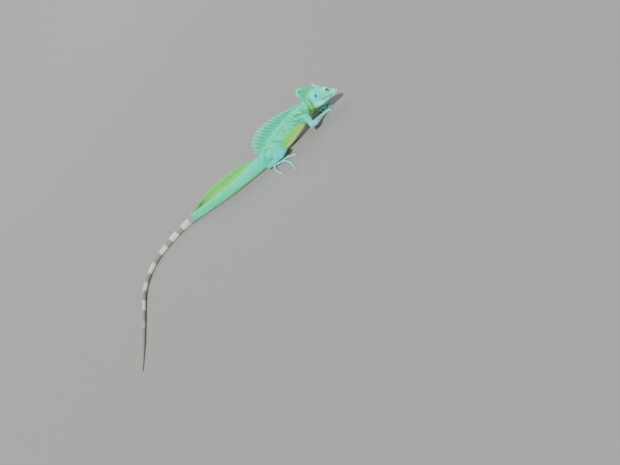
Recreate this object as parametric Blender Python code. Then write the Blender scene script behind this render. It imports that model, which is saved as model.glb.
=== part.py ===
"""Adult male green basilisk, life size, as a still model resting on a level floor.

All sizes below are in millimetres and become metres where a mesh is made.
+X runs from the hips to the snout, +Y to the lizard's left, +Z up, and the floor is z = 0.
The origin is on the floor under the middle of the back.
"""

import math

import bmesh
import bpy
import numpy as np
from mathutils import Euler, Vector

MM = 0.001
GAP = 0.3

# Whole animal
SNOUT_X = 150.4
SNOUT_Z = 19.4
HEAD_PITCH = math.radians(24.0)
HEAD_ROLL = math.radians(-15.0)
VENT_X = -46.0
TAIL_LENGTH = 560.0

# Trunk stations: x, top, bottom, half width, forward lean of the section in degrees
TRUNK = [
    (-46.0, 27.2, 0.0, 11.2, 0.0),
    (-34.0, 30.2, 0.0, 13.2, 0.0),
    (-20.0, 34.6, 0.0, 15.0, 0.0),
    (-4.0, 39.6, 0.0, 16.6, 0.0),
    (5.0, 42.1, 0.0, 17.2, 0.0),
    (18.0, 44.8, 1.7, 17.5, 0.0),
    (32.0, 46.8, 4.4, 17.2, 0.0),
    (48.0, 48.4, 8.2, 16.4, 0.0),
    (63.0, 49.6, 12.4, 15.4, 4.0),
    (76.5, 49.8, 14.8, 13.6, 16.0),
]
TRUNK_SIDES = 32
TRUNK_RINGS = 19
TRUNK_SQUARENESS = 2.25
TRUNK_KEEL = 0.30
NECK_RINGS = 6
NECK_WAIST = 0.05

# Head stations behind the snout tip: distance, crown height, brow height, brow half width,
# cheek half width, lip half width, jaw height, jaw half width, throat height
HEAD = [
    (1.0, 2.4, 1.4, 2.0, 2.6, 2.6, -3.4, 2.2, -3.9),
    (3.5, 4.6, 3.2, 3.6, 4.4, 4.6, -4.4, 3.8, -5.0),
    (8.0, 6.6, 5.0, 4.8, 6.0, 6.6, -5.2, 5.6, -6.2),
    (14.0, 8.8, 7.6, 6.0, 7.2, 8.2, -5.8, 7.0, -7.6),
    (20.0, 11.2, 10.8, 7.8, 8.4, 9.6, -6.4, 8.2, -9.6),
    (26.0, 13.6, 13.4, 8.6, 10.0, 10.8, -7.2, 9.2, -13.2),
    (32.0, 15.4, 14.0, 8.2, 11.6, 11.8, -9.2, 10.2, -16.8),
    (39.0, 17.0, 13.8, 7.6, 12.8, 12.4, -11.6, 10.9, -19.8),
    (48.0, 17.2, 11.8, 7.8, 13.2, 12.8, -12.4, 11.2, -23.6),
    (57.5, 9.6, 4.6, 8.6, 12.9, 12.6, -12.0, 11.4, -27.6),
]
HEAD_RINGS = 21
# Mouth line: distance behind the snout tip, height, depth of the groove between the lips
MOUTH = [
    (0.0, -1.6, 0.5),
    (4.0, -1.9, 0.9),
    (20.0, -2.8, 0.9),
    (30.0, -3.5, 0.9),
    (35.0, -5.0, 0.8),
    (40.5, -4.8, 0.0),
    (57.5, -4.6, 0.0),
]
LIP_EDGE = 0.6
ORBIT_AT = 25.3
ORBIT_DEPTH = 0.9
ORBIT_REACH = 5.5

EYE_DISTANCE = 25.3
EYE_HEIGHT = 9.0
EYE_SIDE = 7.0
EYE_RADIUS = 4.7
LID_THICKNESS = 0.6
LID_OPENING = (3.9, 3.0)
NOSTRIL = (5.2, 3.4, 3.3)
NOSTRIL_RADIUS = 0.75
EAR = (48.0, 13.5, 4.2)
EAR_RADII = (2.5, 1.7, 3.4)

# Flat crests of the head: distance behind the snout tip and height, root line and free edge
NAPE_ROOT = [(45.0, 17.4), (49.5, 16.4), (54.0, 12.8), (58.0, 8.8), (63.5, 3.8)]
NAPE_EDGE = [(46.8, 18.8), (57.7, 21.8), (65.7, 24.6), (74.0, 25.8), (79.8, 20.4), (77.4, 11.4), (68.0, 2.8)]
NAPE_THICKNESS = (3.4, 1.0)
NAPE_SINK = (1.4, -2.1)
BROW_ROOT = [(30.5, 14.8), (35.5, 16.2), (41.0, 17.2)]
BROW_EDGE = [(31.0, 16.4), (38.0, 20.8), (45.0, 26.2), (46.8, 23.6), (42.6, 19.0)]
BROW_THICKNESS = (3.2, 1.2)
BROW_SINK = (0.0, -2.0)

# Fin on the back: root distance ahead of the origin, ray length, ray lean from upright in degrees
BACK_FIN = [
    (76.0, 3.0, 42.0),
    (60.0, 11.5, 33.0),
    (40.0, 22.5, 34.0),
    (20.0, 30.0, 35.0),
    (2.0, 33.5, 36.0),
    (-14.0, 31.0, 38.0),
    (-26.0, 23.0, 43.0),
    (-36.0, 11.0, 54.0),
]
BACK_RAYS = 18
# Fin on the tail: root distance behind the vent, ray length, ray lean from upright in degrees
TAIL_FIN = [
    (5.0, 4.0, 58.0),
    (20.0, 16.5, 47.0),
    (40.0, 25.5, 45.0),
    (65.0, 30.5, 45.0),
    (90.0, 29.5, 46.0),
    (120.0, 22.5, 48.0),
    (145.0, 14.5, 51.0),
    (166.0, 8.0, 55.0),
    (182.0, 3.0, 60.0),
]
TAIL_RAYS = 21
FIN_SINK = 3.0
FIN_ROOT_THICKNESS = 3.0
MEMBRANE = (1.2, 0.7)
RAY = (2.2, 1.1)
RAY_SHARE = 0.22
SCALLOP = 0.10
FIN_ROWS = (0.0, 0.25, 0.62, 1.0)

# Tail: centre line on the floor, and distance, half depth, half width
TAIL_PATH = [
    (-46.0, 0.0), (-120.0, 6.0), (-178.0, 19.0), (-235.0, 33.0), (-266.0, 34.0), (-300.0, 25.0),
    (-333.0, 8.0), (-357.0, -20.0), (-372.0, -57.0), (-379.0, -110.0), (-387.0, -186.0), (-396.0, -243.0),
]
TAIL_GIRTH = [
    (0.0, 13.6, 11.2),
    (30.0, 12.4, 10.4),
    (60.0, 11.0, 9.2),
    (120.0, 9.2, 7.5),
    (180.0, 7.5, 6.2),
    (240.0, 6.1, 5.2),
    (300.0, 5.0, 4.4),
    (400.0, 3.7, 3.3),
    (500.0, 2.4, 2.2),
    (560.0, 1.0, 1.0),
]
TAIL_CUTS = [0.0, 74.0, 161.0, 260.0, 400.0, TAIL_LENGTH]
TAIL_SIDES = 16
TAIL_LEAD_IN = 30.0
TAIL_RINGS = 9

# Limb lengths from root to end: x, y, z, half width, half height
RIGHT = {
    "upper_arm": [
        (72, -8, 30, 7.0, 8.0),
        (72, -16, 27, 6.8, 7.6),
        (71, -24, 21.5, 5.8, 6.4),
        (70, -30.5, 16.5, 5.2, 5.4),
    ],
    "forearm": [
        (70.5, -30.5, 16.5, 4.8, 5.0),
        (78, -25.5, 13.8, 5.6, 5.6),
        (88, -15.5, 9.8, 4.6, 4.4),
        (97, -7, 6.6, 3.6, 3.0),
    ],
    "hand": [(96, -7.8, 6.6, 3.2, 2.6), (102, -3.6, 4.6, 4.6, 2.6), (108, 0.6, 2.7, 5.0, 2.3)],
    "thigh": [
        (-30, -6, 20, 10.0, 10.5),
        (-20, -16, 20.5, 9.4, 10.0),
        (-8, -25.5, 19.6, 7.8, 8.6),
        (1.5, -31, 17.4, 6.0, 6.2),
    ],
    "shin": [
        (1, -31.5, 17.0, 5.4, 5.4),
        (-11, -31.5, 14.8, 6.2, 6.4),
        (-27, -27.5, 12, 4.8, 5.0),
        (-41, -22.8, 8.8, 3.5, 3.6),
    ],
    "foot": [
        (-42.5, -22.3, 8.4, 3.4, 3.4),
        (-34, -24, 6.2, 4.0, 3.0),
        (-24, -27, 4.0, 4.5, 2.6),
        (-15, -30, 2.6, 4.6, 2.3),
    ],
}
LEFT = {
    "upper_arm": [
        (72, 8, 30, 7.0, 8.0),
        (71, 16, 27, 6.8, 7.6),
        (68, 24.5, 21.5, 5.8, 6.4),
        (65, 31.5, 16, 5.2, 5.4),
    ],
    "forearm": [
        (65.5, 31.5, 16, 4.8, 5.0),
        (73, 31, 13.2, 5.6, 5.6),
        (84, 28, 9.4, 4.6, 4.4),
        (95, 25.5, 6.4, 3.6, 3.0),
    ],
    "hand": [(94, 25.7, 6.4, 3.2, 2.6), (100, 25, 4.5, 4.6, 2.6), (106, 25, 2.7, 5.0, 2.3)],
    "thigh": [
        (-30, 6, 20, 10.0, 10.5),
        (-21, 16.5, 20.5, 9.4, 10.0),
        (-10, 27, 19.6, 7.8, 8.6),
        (-1, 34, 17.2, 6.0, 6.2),
    ],
    "shin": [
        (-1.5, 34.2, 16.8, 5.4, 5.4),
        (-13, 35.5, 14.6, 6.2, 6.4),
        (-28.5, 32, 11.6, 4.8, 5.0),
        (-42, 28, 8.4, 3.5, 3.6),
    ],
    "foot": [
        (-43.5, 27.6, 8.0, 3.4, 3.4),
        (-35, 29.5, 6.0, 4.0, 3.0),
        (-25, 32.5, 4.0, 4.5, 2.6),
        (-16, 36, 2.6, 4.6, 2.3),
    ],
}
# Digits, first to fifth: root x, y, tip x, y, sideways bow of the middle
RIGHT_DIGITS = {
    "hand": [
        (104.5, 3.4, 104, 13.5, -1),
        (107.5, 3.6, 113.5, 18, -1),
        (109.5, 2.2, 125, 16.5, -1),
        (110, -0.4, 130.5, 8.5, -1),
        (107, -3, 121, -7, 1),
    ],
    "foot": [
        (-20, -26.5, -6, -21, 1),
        (-16.5, -28, 4, -29, 1),
        (-14, -30, 14, -46, 2),
        (-14, -32, -7, -88, 5),
        (-33, -26, -29, -66, -4),
    ],
}
LEFT_DIGITS = {
    "hand": [
        (102.5, 22.3, 108, 14, -1),
        (105.5, 22.9, 120, 18, -1),
        (107.5, 24.6, 130, 27.5, -1),
        (107, 27, 126, 38, 1),
        (103, 28.5, 109, 40.5, 1),
    ],
    "foot": [
        (-21, 32, -8, 25, -1),
        (-18, 34, 4, 31, -1),
        (-15, 36, 17, 41, -2),
        (-15.5, 38, 31, 67, -4),
        (-34, 31, -29, 66, 3),
    ],
}
DIGIT_RADIUS = {"hand": 1.8, "foot": 2.0}
DIGIT_SIDES = 6
DIGIT_RINGS = 8
CLAW_LENGTH = 3.2
LIMB_SIDES = 12
LIMB_RINGS = 7

# Finish of each group: colour, roughness
FINISH = {
    "skin": ((0.10, 0.62, 0.42, 1.0), 0.45),
    "head": ((0.09, 0.60, 0.52, 1.0), 0.42),
    "fin": ((0.22, 0.70, 0.45, 1.0), 0.5),
    "tail": ((0.30, 0.48, 0.25, 1.0), 0.5),
    "tail_end": ((0.42, 0.36, 0.31, 1.0), 0.6),
    "foot": ((0.42, 0.66, 0.62, 1.0), 0.5),
    "eye": ((0.55, 0.38, 0.08, 1.0), 0.1),
}


def shaped(rows, at):
    """Columns of a table at a station, along cubic arcs that never overshoot a row."""
    table = np.asarray(rows, float)
    x, y = table[:, 0], table[:, 1:]
    if x[0] > x[-1]:
        x, y = x[::-1], y[::-1]
    step = np.diff(x)[:, None]
    slope = np.diff(y, axis=0) / step
    tangent = np.zeros_like(y)
    agree = slope[:-1] * slope[1:] > 0
    total = np.where(agree, slope[:-1] + slope[1:], 1.0)
    tangent[1:-1] = np.where(agree, 2 * slope[:-1] * slope[1:] / total, 0.0)
    tangent[0], tangent[-1] = slope[0], slope[-1]
    i = int(np.clip(np.searchsorted(x, at) - 1, 0, len(x) - 2))
    t = np.clip((at - x[i]) / step[i, 0], 0.0, 1.0)
    rise = step[i, 0]
    return ((2 * t**3 - 3 * t**2 + 1) * y[i] + (t**3 - 2 * t**2 + t) * rise * tangent[i]
            + (3 * t**2 - 2 * t**3) * y[i + 1] + (t**3 - t**2) * rise * tangent[i + 1])


def flowing(points, count):
    """Evenly counted points on a smooth curve through the given ones."""
    p = np.asarray(points, float)
    p = np.vstack([2 * p[0] - p[1], p, 2 * p[-1] - p[-2]])
    spans = len(p) - 3
    out = []
    for u in np.linspace(0.0, spans, count):
        i = min(int(u), spans - 1)
        t = u - i
        a, b, c, d = p[i:i + 4]
        out.append(0.5 * (2 * b + (c - a) * t + (2 * a - 5 * b + 4 * c - d) * t**2
                          + (3 * b - a - 3 * c + d) * t**3))
    return np.array(out)


class Shape:
    """Points and faces of one closed surface."""

    def __init__(self, points, faces):
        self.points = points
        self.faces = faces


def loft(rings, start=None, end=None):
    """Closed surface over rings of equal count, drawn to a point or its own middle at each end."""
    sides = len(rings[0])
    points = [tuple(p) for ring in rings for p in ring]
    faces = []
    for r in range(len(rings) - 1):
        for k in range(sides):
            a, b = r * sides + k, r * sides + (k + 1) % sides
            faces += [(a, b, b + sides), (a, b + sides, a + sides)]
    for ring, first, tip in ((rings[0], 0, start), (rings[-1], (len(rings) - 1) * sides, end)):
        points.append(tuple(np.mean(ring, axis=0)) if tip is None else tuple(tip))
        last = len(points) - 1
        faces += [(first + k, first + (k + 1) % sides, last) for k in range(sides)]
    return Shape(points, faces)


def add_object(name, shape, origin=(0, 0, 0), parent=None):
    """Mesh object from points in millimetres round its own origin."""
    mesh = bpy.data.meshes.new(name)
    base = np.asarray(origin, float)
    mesh.from_pydata([tuple((np.asarray(p) - base) * MM) for p in shape.points], [], shape.faces)
    work = bmesh.new()
    work.from_mesh(mesh)
    bmesh.ops.recalc_face_normals(work, faces=work.faces)
    work.to_mesh(mesh)
    work.free()
    obj = bpy.data.objects.new(name, mesh)
    obj.location = Vector(tuple(base * MM))
    obj.parent = parent
    bpy.context.scene.collection.objects.link(obj)
    return obj


def keep_largest(mesh):
    """Leave only the closed surface with the most area."""
    work = bmesh.new()
    work.from_mesh(mesh)
    bmesh.ops.triangulate(work, faces=work.faces)
    left = set(work.faces)
    groups = []
    while left:
        stack = [left.pop()]
        group = set(stack)
        while stack:
            face = stack.pop()
            for edge in face.edges:
                for other in edge.link_faces:
                    if other in left:
                        left.discard(other)
                        group.add(other)
                        stack.append(other)
        groups.append(group)
    groups.sort(key=lambda g: sum(f.calc_area() for f in g))
    for group in groups[:-1]:
        bmesh.ops.delete(work, geom=list(group), context="FACES")
    work.to_mesh(mesh)
    work.free()


def combine(target, pieces, operation, solver="EXACT"):
    """Union with or cut by closed pieces, which are then removed."""
    group = bpy.data.collections.new("pieces")
    for piece in pieces:
        group.objects.link(piece)
    modifier = target.modifiers.new("shape", "BOOLEAN")
    modifier.operation = operation
    modifier.operand_type = "COLLECTION"
    modifier.collection = group
    modifier.solver = solver
    bpy.context.view_layer.update()
    result = bpy.data.meshes.new_from_object(
        target.evaluated_get(bpy.context.evaluated_depsgraph_get()))
    target.modifiers.clear()
    old = target.data
    target.data = result
    bpy.data.meshes.remove(old)
    result.name = target.name
    for piece in pieces:
        mesh = piece.data
        bpy.data.objects.remove(piece)
        bpy.data.meshes.remove(mesh)
    bpy.data.collections.remove(group)
    keep_largest(result)


def finish(obj, group):
    """Material of the group and smooth shading with sharp cut edges."""
    colour, roughness = FINISH[group]
    material = bpy.data.materials.new(obj.name)
    material.use_nodes = True
    shader = material.node_tree.nodes["Principled BSDF"]
    shader.inputs["Base Color"].default_value = colour
    shader.inputs["Roughness"].default_value = roughness
    obj.data.materials.clear()
    obj.data.materials.append(material)
    obj.data.shade_smooth()
    obj.data.set_sharp_from_angle(angle=math.radians(50))


def ball(name, centre, radii, parent=None, segments=16):
    """Closed ellipsoid."""
    angles = np.linspace(0, math.tau, segments, endpoint=False)
    rings = []
    for polar in np.linspace(0, math.pi, segments // 2 + 1)[1:-1]:
        across = math.sin(polar)
        rings.append([(centre[0] + radii[0] * math.cos(polar),
                       centre[1] + radii[1] * across * math.cos(a),
                       centre[2] + radii[2] * across * math.sin(a)) for a in angles])
    start = (centre[0] + radii[0], centre[1], centre[2])
    end = (centre[0] - radii[0], centre[1], centre[2])
    return add_object(name, loft(rings, start, end), centre, parent)


def oval(half_width, half_height, sides, squareness=2.0, keel=0.0):
    """Section points across and up from its centre, from the top round, flattened underneath."""
    floor = -half_height * math.cos(math.tau / sides)
    points = []
    for k in range(sides):
        angle = math.tau * k / sides
        across, up = math.sin(angle), math.cos(angle)
        y = half_width * math.copysign(abs(across) ** (2 / squareness), across)
        z = half_height * math.copysign(abs(up) ** (2 / squareness), up)
        y *= 1 - keel * max(z / half_height, 0.0) ** 3
        points.append((y, max(z, floor)))
    return points


def trunk_ring(x, grow=0.0):
    """Section of the trunk round its centre at a station."""
    top, bottom, half_width, lean = shaped(TRUNK, x)
    half_height = (top - bottom) / (1 + math.cos(math.tau / TRUNK_SIDES))
    centre = top - half_height
    lean = math.radians(lean)
    section = oval(half_width + grow, half_height + grow, TRUNK_SIDES, TRUNK_SQUARENESS, TRUNK_KEEL)
    return [(x + z * math.sin(lean), y, centre + z * math.cos(lean)) for y, z in section]


def on_floor(ring):
    return [(x, y, max(z, 0.0)) for x, y, z in ring]


def head_section(distance, grow=0.0):
    """Half section of the head from crown to throat as points across and up."""
    crown, brow_z, brow_w, cheek_w, lip_w, jaw_z, jaw_w, throat = shaped(HEAD, distance)
    mouth, groove = shaped(MOUTH, distance)
    orbit = ORBIT_DEPTH * math.exp(-((distance - ORBIT_AT) / ORBIT_REACH) ** 2)
    cheek_z = 0.5 * brow_z + 0.5 * mouth
    drop = throat - jaw_z
    points = [
        (0.0, crown),
        (0.36 * brow_w, crown - 0.08 * (crown - brow_z)),
        (0.72 * brow_w, crown - 0.38 * (crown - brow_z)),
        (brow_w, brow_z),
        (0.72 * brow_w + 0.28 * cheek_w - orbit, 0.72 * brow_z + 0.28 * cheek_z),
        (0.35 * brow_w + 0.65 * cheek_w - orbit, 0.35 * brow_z + 0.65 * cheek_z),
        (cheek_w, cheek_z),
        (0.5 * cheek_w + 0.5 * lip_w, 0.5 * cheek_z + 0.5 * mouth),
        (lip_w, mouth + LIP_EDGE),
        (lip_w - groove, mouth),
        (lip_w - 0.1, mouth - LIP_EDGE),
        (0.45 * lip_w + 0.55 * jaw_w, 0.5 * mouth + 0.5 * jaw_z),
        (jaw_w, jaw_z),
        (0.90 * jaw_w, jaw_z + 0.32 * drop),
        (0.72 * jaw_w, jaw_z + 0.64 * drop),
        (0.42 * jaw_w, jaw_z + 0.90 * drop),
        (0.0, throat),
    ]
    middle = 0.5 * (crown + throat)
    stretch = 1 + grow / (0.5 * (crown - throat))
    return [(y + grow * min(y, 1.0), middle + (z - middle) * stretch) for y, z in points]


def head_ring(distance, grow=0.0):
    """Section of the head in its own frame: forward, left, up from the snout tip."""
    half = head_section(distance, grow)
    mirrored = [(-y, z) for y, z in half[-2:0:-1]]
    return [(-distance, y, z) for y, z in half + mirrored]


def in_world(point):
    """Place of a point given in the head's frame."""
    turn = Euler((HEAD_ROLL, HEAD_PITCH, 0.0)).to_matrix()
    return tuple(turn @ Vector(point) + Vector((SNOUT_X, 0.0, SNOUT_Z)))


def trunk_loft():
    stations = np.linspace(VENT_X + GAP / 2, TRUNK[-1][0] - GAP / 2, TRUNK_RINGS)
    return loft([on_floor(trunk_ring(x)) for x in stations])


def neck_rings(grow=0.0, start=0.0, stop=1.0):
    """Rings from the trunk's last section to the head's last one."""
    back = np.array(trunk_ring(TRUNK[-1][0], grow))
    front = np.array([in_world(p) for p in head_ring(HEAD[-1][0], grow)])
    rings = []
    for t in np.linspace(start, stop, NECK_RINGS):
        ring = back * (1 - t) + front * t
        centre = ring.mean(axis=0)
        rings.append(centre + (ring - centre) * (1 - NECK_WAIST * math.sin(math.pi * t)))
    return rings


class Tail:
    """Tail centre line by distance behind the vent."""

    def __init__(self):
        self.line = flowing(TAIL_PATH, 600)
        steps = np.linalg.norm(np.diff(self.line, axis=0), axis=1)
        self.along = np.concatenate([[0.0], np.cumsum(steps)])
        self.along *= TAIL_LENGTH / self.along[-1]

    def place(self, distance):
        x = np.interp(distance, self.along, self.line[:, 0])
        y = np.interp(distance, self.along, self.line[:, 1])
        return np.array([x, y])

    def ring(self, distance, grow=0.0):
        """Section of the tail, upright and square to its centre line."""
        half_depth, half_width = shaped(TAIL_GIRTH, distance)
        low = max(distance - 2.0, 0.0)
        high = min(distance + 2.0, TAIL_LENGTH)
        heading = self.place(high) - self.place(low)
        heading /= np.linalg.norm(heading)
        turned = min(distance / TAIL_LEAD_IN, 1.0)
        heading = heading * turned + np.array([-1.0, 0.0]) * (1 - turned)
        heading /= np.linalg.norm(heading)
        across = np.array([heading[1], -heading[0]])
        x, y = self.place(distance)
        height = half_depth * math.cos(math.tau / TAIL_SIDES)
        section = oval(half_width + grow, half_depth + grow, TAIL_SIDES)
        ring = [(x + across[0] * a, y + across[1] * a, height + b) for a, b in section]
        return on_floor(ring)

    def top(self, distance):
        half_depth = shaped(TAIL_GIRTH, distance)[0]
        return half_depth * (1 + math.cos(math.tau / TAIL_SIDES))


def tube(rows, sides, rings, grow=0.0, round_start=True, round_end=True):
    """Limb length through rows of x, y, z, half width, half height, resting above the floor."""
    line = flowing(rows, rings)
    centres, sizes = line[:, :3], line[:, 3:] + grow
    tangents = np.gradient(centres, axis=0)
    tangents /= np.linalg.norm(tangents, axis=1)[:, None]
    stations = list(zip(centres, tangents, sizes))
    if round_start:
        stations = end_rings(stations[0], -1)[::-1] + stations
    if round_end:
        stations += end_rings(stations[-1], 1)
    loops = []
    for centre, tangent, size in stations:
        side = np.cross(tangent, (0.0, 0.0, 1.0))
        side /= np.linalg.norm(side)
        up = np.cross(side, tangent)
        turn = math.pi / sides
        loop = []
        for k in range(sides):
            angle = math.tau * k / sides + turn
            loop.append(centre + side * size[0] * math.sin(angle) + up * size[1] * math.cos(angle))
        loops.append([(x, y, max(z, 0.0)) for x, y, z in loop])
    return loft(loops)


def end_rings(station, way):
    """Shrinking sections that round off the end of a limb length."""
    centre, tangent, size = station
    reach = way * float(np.mean(size))
    return [(centre + tangent * reach * 0.5, tangent, size * 0.86),
            (centre + tangent * reach * 0.85, tangent, size * 0.52)]


def digit(row, kind):
    """Toe or finger with its claw, arched from the palm and flat on the floor at its pad."""
    x0, y0, x1, y1, bow = row
    radius = DIGIT_RADIUS[kind]
    start, end = np.array([x0, y0]), np.array([x1, y1])
    length = float(np.linalg.norm(end - start))
    ahead = (end - start) / length
    across = np.array([-ahead[1], ahead[0]])
    claw = CLAW_LENGTH / length
    flat = math.cos(math.pi / DIGIT_SIDES)
    rows = []
    for u, girth, lift in [(0.0, 1.0, 0.6), (0.22, 0.84, 1.7), (0.5, 0.90, 0.9),
                           (0.75, 0.72, 0.1), (1 - claw, 0.70, 0.0)]:
        place = start + ahead * length * u + across * bow * math.sin(math.pi * u)
        rows.append((place[0], place[1], radius * girth * flat + lift, radius * girth, radius * girth))
    hook = end - ahead * CLAW_LENGTH * 0.5
    rows.append((hook[0], hook[1], 1.5, 0.62, 0.7))
    rows.append((end[0], end[1], 0.42, 0.2, 0.22))
    return tube(rows, DIGIT_SIDES, DIGIT_RINGS, round_start=False, round_end=False)


def fin_shape(rows, rays, place):
    """Fin with raised rays: a folded sheet, alike on both faces, from below its root to its edge."""
    first, last = rows[0][0], rows[-1][0]
    step = (last - first) / (rays - 1)
    columns = []
    for i in range(rays):
        for offset, share in [(0.0, 1.0), (RAY_SHARE, 0.0), (0.5, 0.0), (1 - RAY_SHARE, 0.0)]:
            if i < rays - 1 or offset == 0.0:
                columns.append((first + (i + offset) * step, share, offset))
    grids = []
    for root, share, offset in columns:
        length, lean = shaped(rows, root)
        lean = math.radians(lean)
        reach = length * (1 - SCALLOP * math.sin(math.pi * offset))
        heights = [-FIN_SINK] + [v * reach for v in FIN_ROWS]
        strip = []
        for row, along in enumerate(heights):
            fade = max(along, 0.0) / max(reach, 1e-6)
            thin = MEMBRANE[0] + (MEMBRANE[1] - MEMBRANE[0]) * fade
            thick = RAY[0] + (RAY[1] - RAY[0]) * fade
            half = 0.5 * (thin + (thick - thin) * share)
            if along <= 0.0:
                half = 0.5 * FIN_ROOT_THICKNESS
            strip.append((place(root, along * math.sin(lean), along * math.cos(lean)), half))
        grids.append(strip)
    return folded_sheet(grids)


def folded_sheet(grids):
    """Closed sheet from columns of (centre point, half thickness), thickened along Y."""
    columns, rows = len(grids), len(grids[0])
    points, faces = [], []
    for way in (1, -1):
        for strip in grids:
            points += [(p[0], p[1] + way * half, p[2]) for p, half in strip]
    other = columns * rows
    for c in range(columns - 1):
        for r in range(rows - 1):
            a, b = c * rows + r, (c + 1) * rows + r
            faces += [(a, b, b + 1), (a, b + 1, a + 1)]
            faces += [(a + other, b + 1 + other, b + other), (a + other, a + 1 + other, b + 1 + other)]
    rim = [(c * rows, (c + 1) * rows) for c in range(columns - 1)]
    rim += [((c + 1) * rows + rows - 1, c * rows + rows - 1) for c in range(columns - 1)]
    rim += [(r + 1, r) for r in range(rows - 1)]
    rim += [((columns - 1) * rows + r, (columns - 1) * rows + r + 1) for r in range(rows - 1)]
    for a, b in rim:
        faces += [(a, a + other, b + other), (a, b + other, b)]
    return Shape(points, faces)


def flat_crest(root, edge, thickness, columns, rows, sink):
    """Flat crest between its root line and its free edge, sunk forward and down at its root."""
    low = flowing(root, columns)
    high = flowing(edge, columns)
    grids = []
    for a, b in zip(low, high):
        strip = [((sink[0] - a[0], 0.0, a[1] + sink[1]), 0.5 * thickness[0])]
        for v in np.linspace(0.0, 1.0, rows):
            p = a + (b - a) * v
            half = 0.5 * (thickness[0] + (thickness[1] - thickness[0]) * math.sqrt(v))
            strip.append(((-p[0], 0.0, p[1]), half))
        grids.append(strip)
    return folded_sheet(grids)


def make_trunk(parent):
    torso = add_object("torso", trunk_loft(), (0, 0, 20), parent)
    overlap = 0.5 * GAP / 14.0
    neck = add_object("neck", loft(neck_rings(0.0, overlap, 1 - overlap)), (84, 0, 33), parent)
    finish(torso, "skin")
    finish(neck, "skin")


def make_head(frame):
    """Head with mouth line, lips, nostrils, ear cups and lids, and its two eyes."""
    stations = np.linspace(HEAD[0][0], HEAD[-1][0], HEAD_RINGS)
    head = add_object("head", loft([head_ring(d) for d in stations], (0.0, 0.0, -0.3)), parent=frame)
    lids, cuts = [], []
    for side, way in (("left", 1), ("right", -1)):
        centre = (-EYE_DISTANCE, way * EYE_SIDE, EYE_HEIGHT)
        outer = EYE_RADIUS + GAP + LID_THICKNESS
        lids.append(ball("lid", centre, (outer,) * 3, frame, 14))
        cuts.append(ball("socket", centre, (EYE_RADIUS + GAP,) * 3, frame, 14))
        slit = (-EYE_DISTANCE, way * (EYE_SIDE + outer), EYE_HEIGHT)
        cuts.append(ball("slit", slit, (LID_OPENING[0], outer, LID_OPENING[1]), frame, 12))
        nostril = (-NOSTRIL[0], way * NOSTRIL[1], NOSTRIL[2])
        cuts.append(ball("nostril", nostril, (NOSTRIL_RADIUS,) * 3, frame, 6))
        ear = (-EAR[0], way * EAR[1], EAR[2])
        cuts.append(ball("ear", ear, EAR_RADII, frame, 10))
        finish(ball("eye_" + side, centre, (EYE_RADIUS,) * 3, frame), "eye")
    combine(head, lids, "UNION")
    combine(head, cuts, "DIFFERENCE")
    finish(head, "head")


def body_cutter():
    """Trunk, neck and head in one, grown by the gap, to part the limbs and crests from them."""
    rings = [on_floor(trunk_ring(x, GAP)) for x in np.linspace(VENT_X - 1.0, TRUNK[-1][0], TRUNK_RINGS)]
    rings += neck_rings(GAP, 0.15, 0.85)
    for distance in np.linspace(HEAD[-1][0], HEAD[0][0], HEAD_RINGS):
        rings.append([in_world(p) for p in head_ring(distance, GAP)])
    return add_object("body_cutter", loft(rings))


def make_head_crests(frame):
    nape = flat_crest(NAPE_ROOT, NAPE_EDGE, NAPE_THICKNESS, 20, 5, NAPE_SINK)
    brow = flat_crest(BROW_ROOT, BROW_EDGE, BROW_THICKNESS, 10, 4, BROW_SINK)
    for name, shape in (("head_crest", nape), ("brow_crest", brow)):
        crest = add_object(name, shape, parent=frame)
        combine(crest, [body_cutter()], "DIFFERENCE")
        finish(crest, "head")


def make_fins(tail, parent):
    """Rayed fins of the back and the tail, each parted from what it stands on."""
    def on_back(root, behind, up):
        x = root - behind
        return (x, 0.0, shaped(TRUNK, min(root, TRUNK[-1][0]))[0] + up)

    def on_tail(root, behind, up):
        x, y = tail.place(root + behind)
        return (x, y, tail.top(root) + up)

    back = add_object("dorsal_crest", fin_shape(BACK_FIN, BACK_RAYS, on_back), (20, 0, 46), parent)
    combine(back, [body_cutter()], "DIFFERENCE")
    rear = add_object("tail_crest", fin_shape(TAIL_FIN, TAIL_RAYS, on_tail), (-120, 6, 20), parent)
    under = loft([tail.ring(d, GAP) for d in np.linspace(0.0, TAIL_CUTS[3], 3 * TAIL_RINGS)])
    combine(rear, [add_object("tail_cutter", under)], "DIFFERENCE")
    finish(back, "fin")
    finish(rear, "fin")


def make_tail(tail, parent):
    """Tail in lengths that meet face to face."""
    for i in range(len(TAIL_CUTS) - 1):
        first, last = TAIL_CUTS[i] + GAP / 2, TAIL_CUTS[i + 1] - GAP / 2
        stations = np.linspace(first, last, TAIL_RINGS)
        middle = tail.place(0.5 * (first + last))
        origin = (middle[0], middle[1], 0.0)
        end = None
        if i == len(TAIL_CUTS) - 2:
            x, y = tail.place(TAIL_LENGTH)
            end = (x, y - 0.6, 0.5)
        shape = loft([tail.ring(d) for d in stations], end=end)
        node = add_object(f"tail_{i + 1}", shape, origin, parent)
        finish(node, "tail" if i < 2 else "tail_end")


def make_limb(side, rows, digits, names, kind, parent):
    """Upper length, lower length and foot of one leg, each cut clear of the one before."""
    upper, lower, end = names
    segment = {}
    for name in names:
        origin = rows[name][0][:3]
        segment[name] = add_object(f"{name}_{side}", tube(rows[name], LIMB_SIDES, LIMB_RINGS), origin, parent)
    toes = [add_object("digit", digit(row, kind)) for row in digits[kind]]
    combine(segment[end], toes, "UNION", "MANIFOLD")
    combine(segment[upper], [body_cutter()], "DIFFERENCE")
    for child, root in ((lower, upper), (end, lower)):
        cutter = add_object("root_cutter", tube(rows[root], LIMB_SIDES, LIMB_RINGS, GAP))
        combine(segment[child], [cutter], "DIFFERENCE")
    finish(segment[upper], "skin")
    finish(segment[lower], "skin")
    finish(segment[end], "foot")


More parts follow.
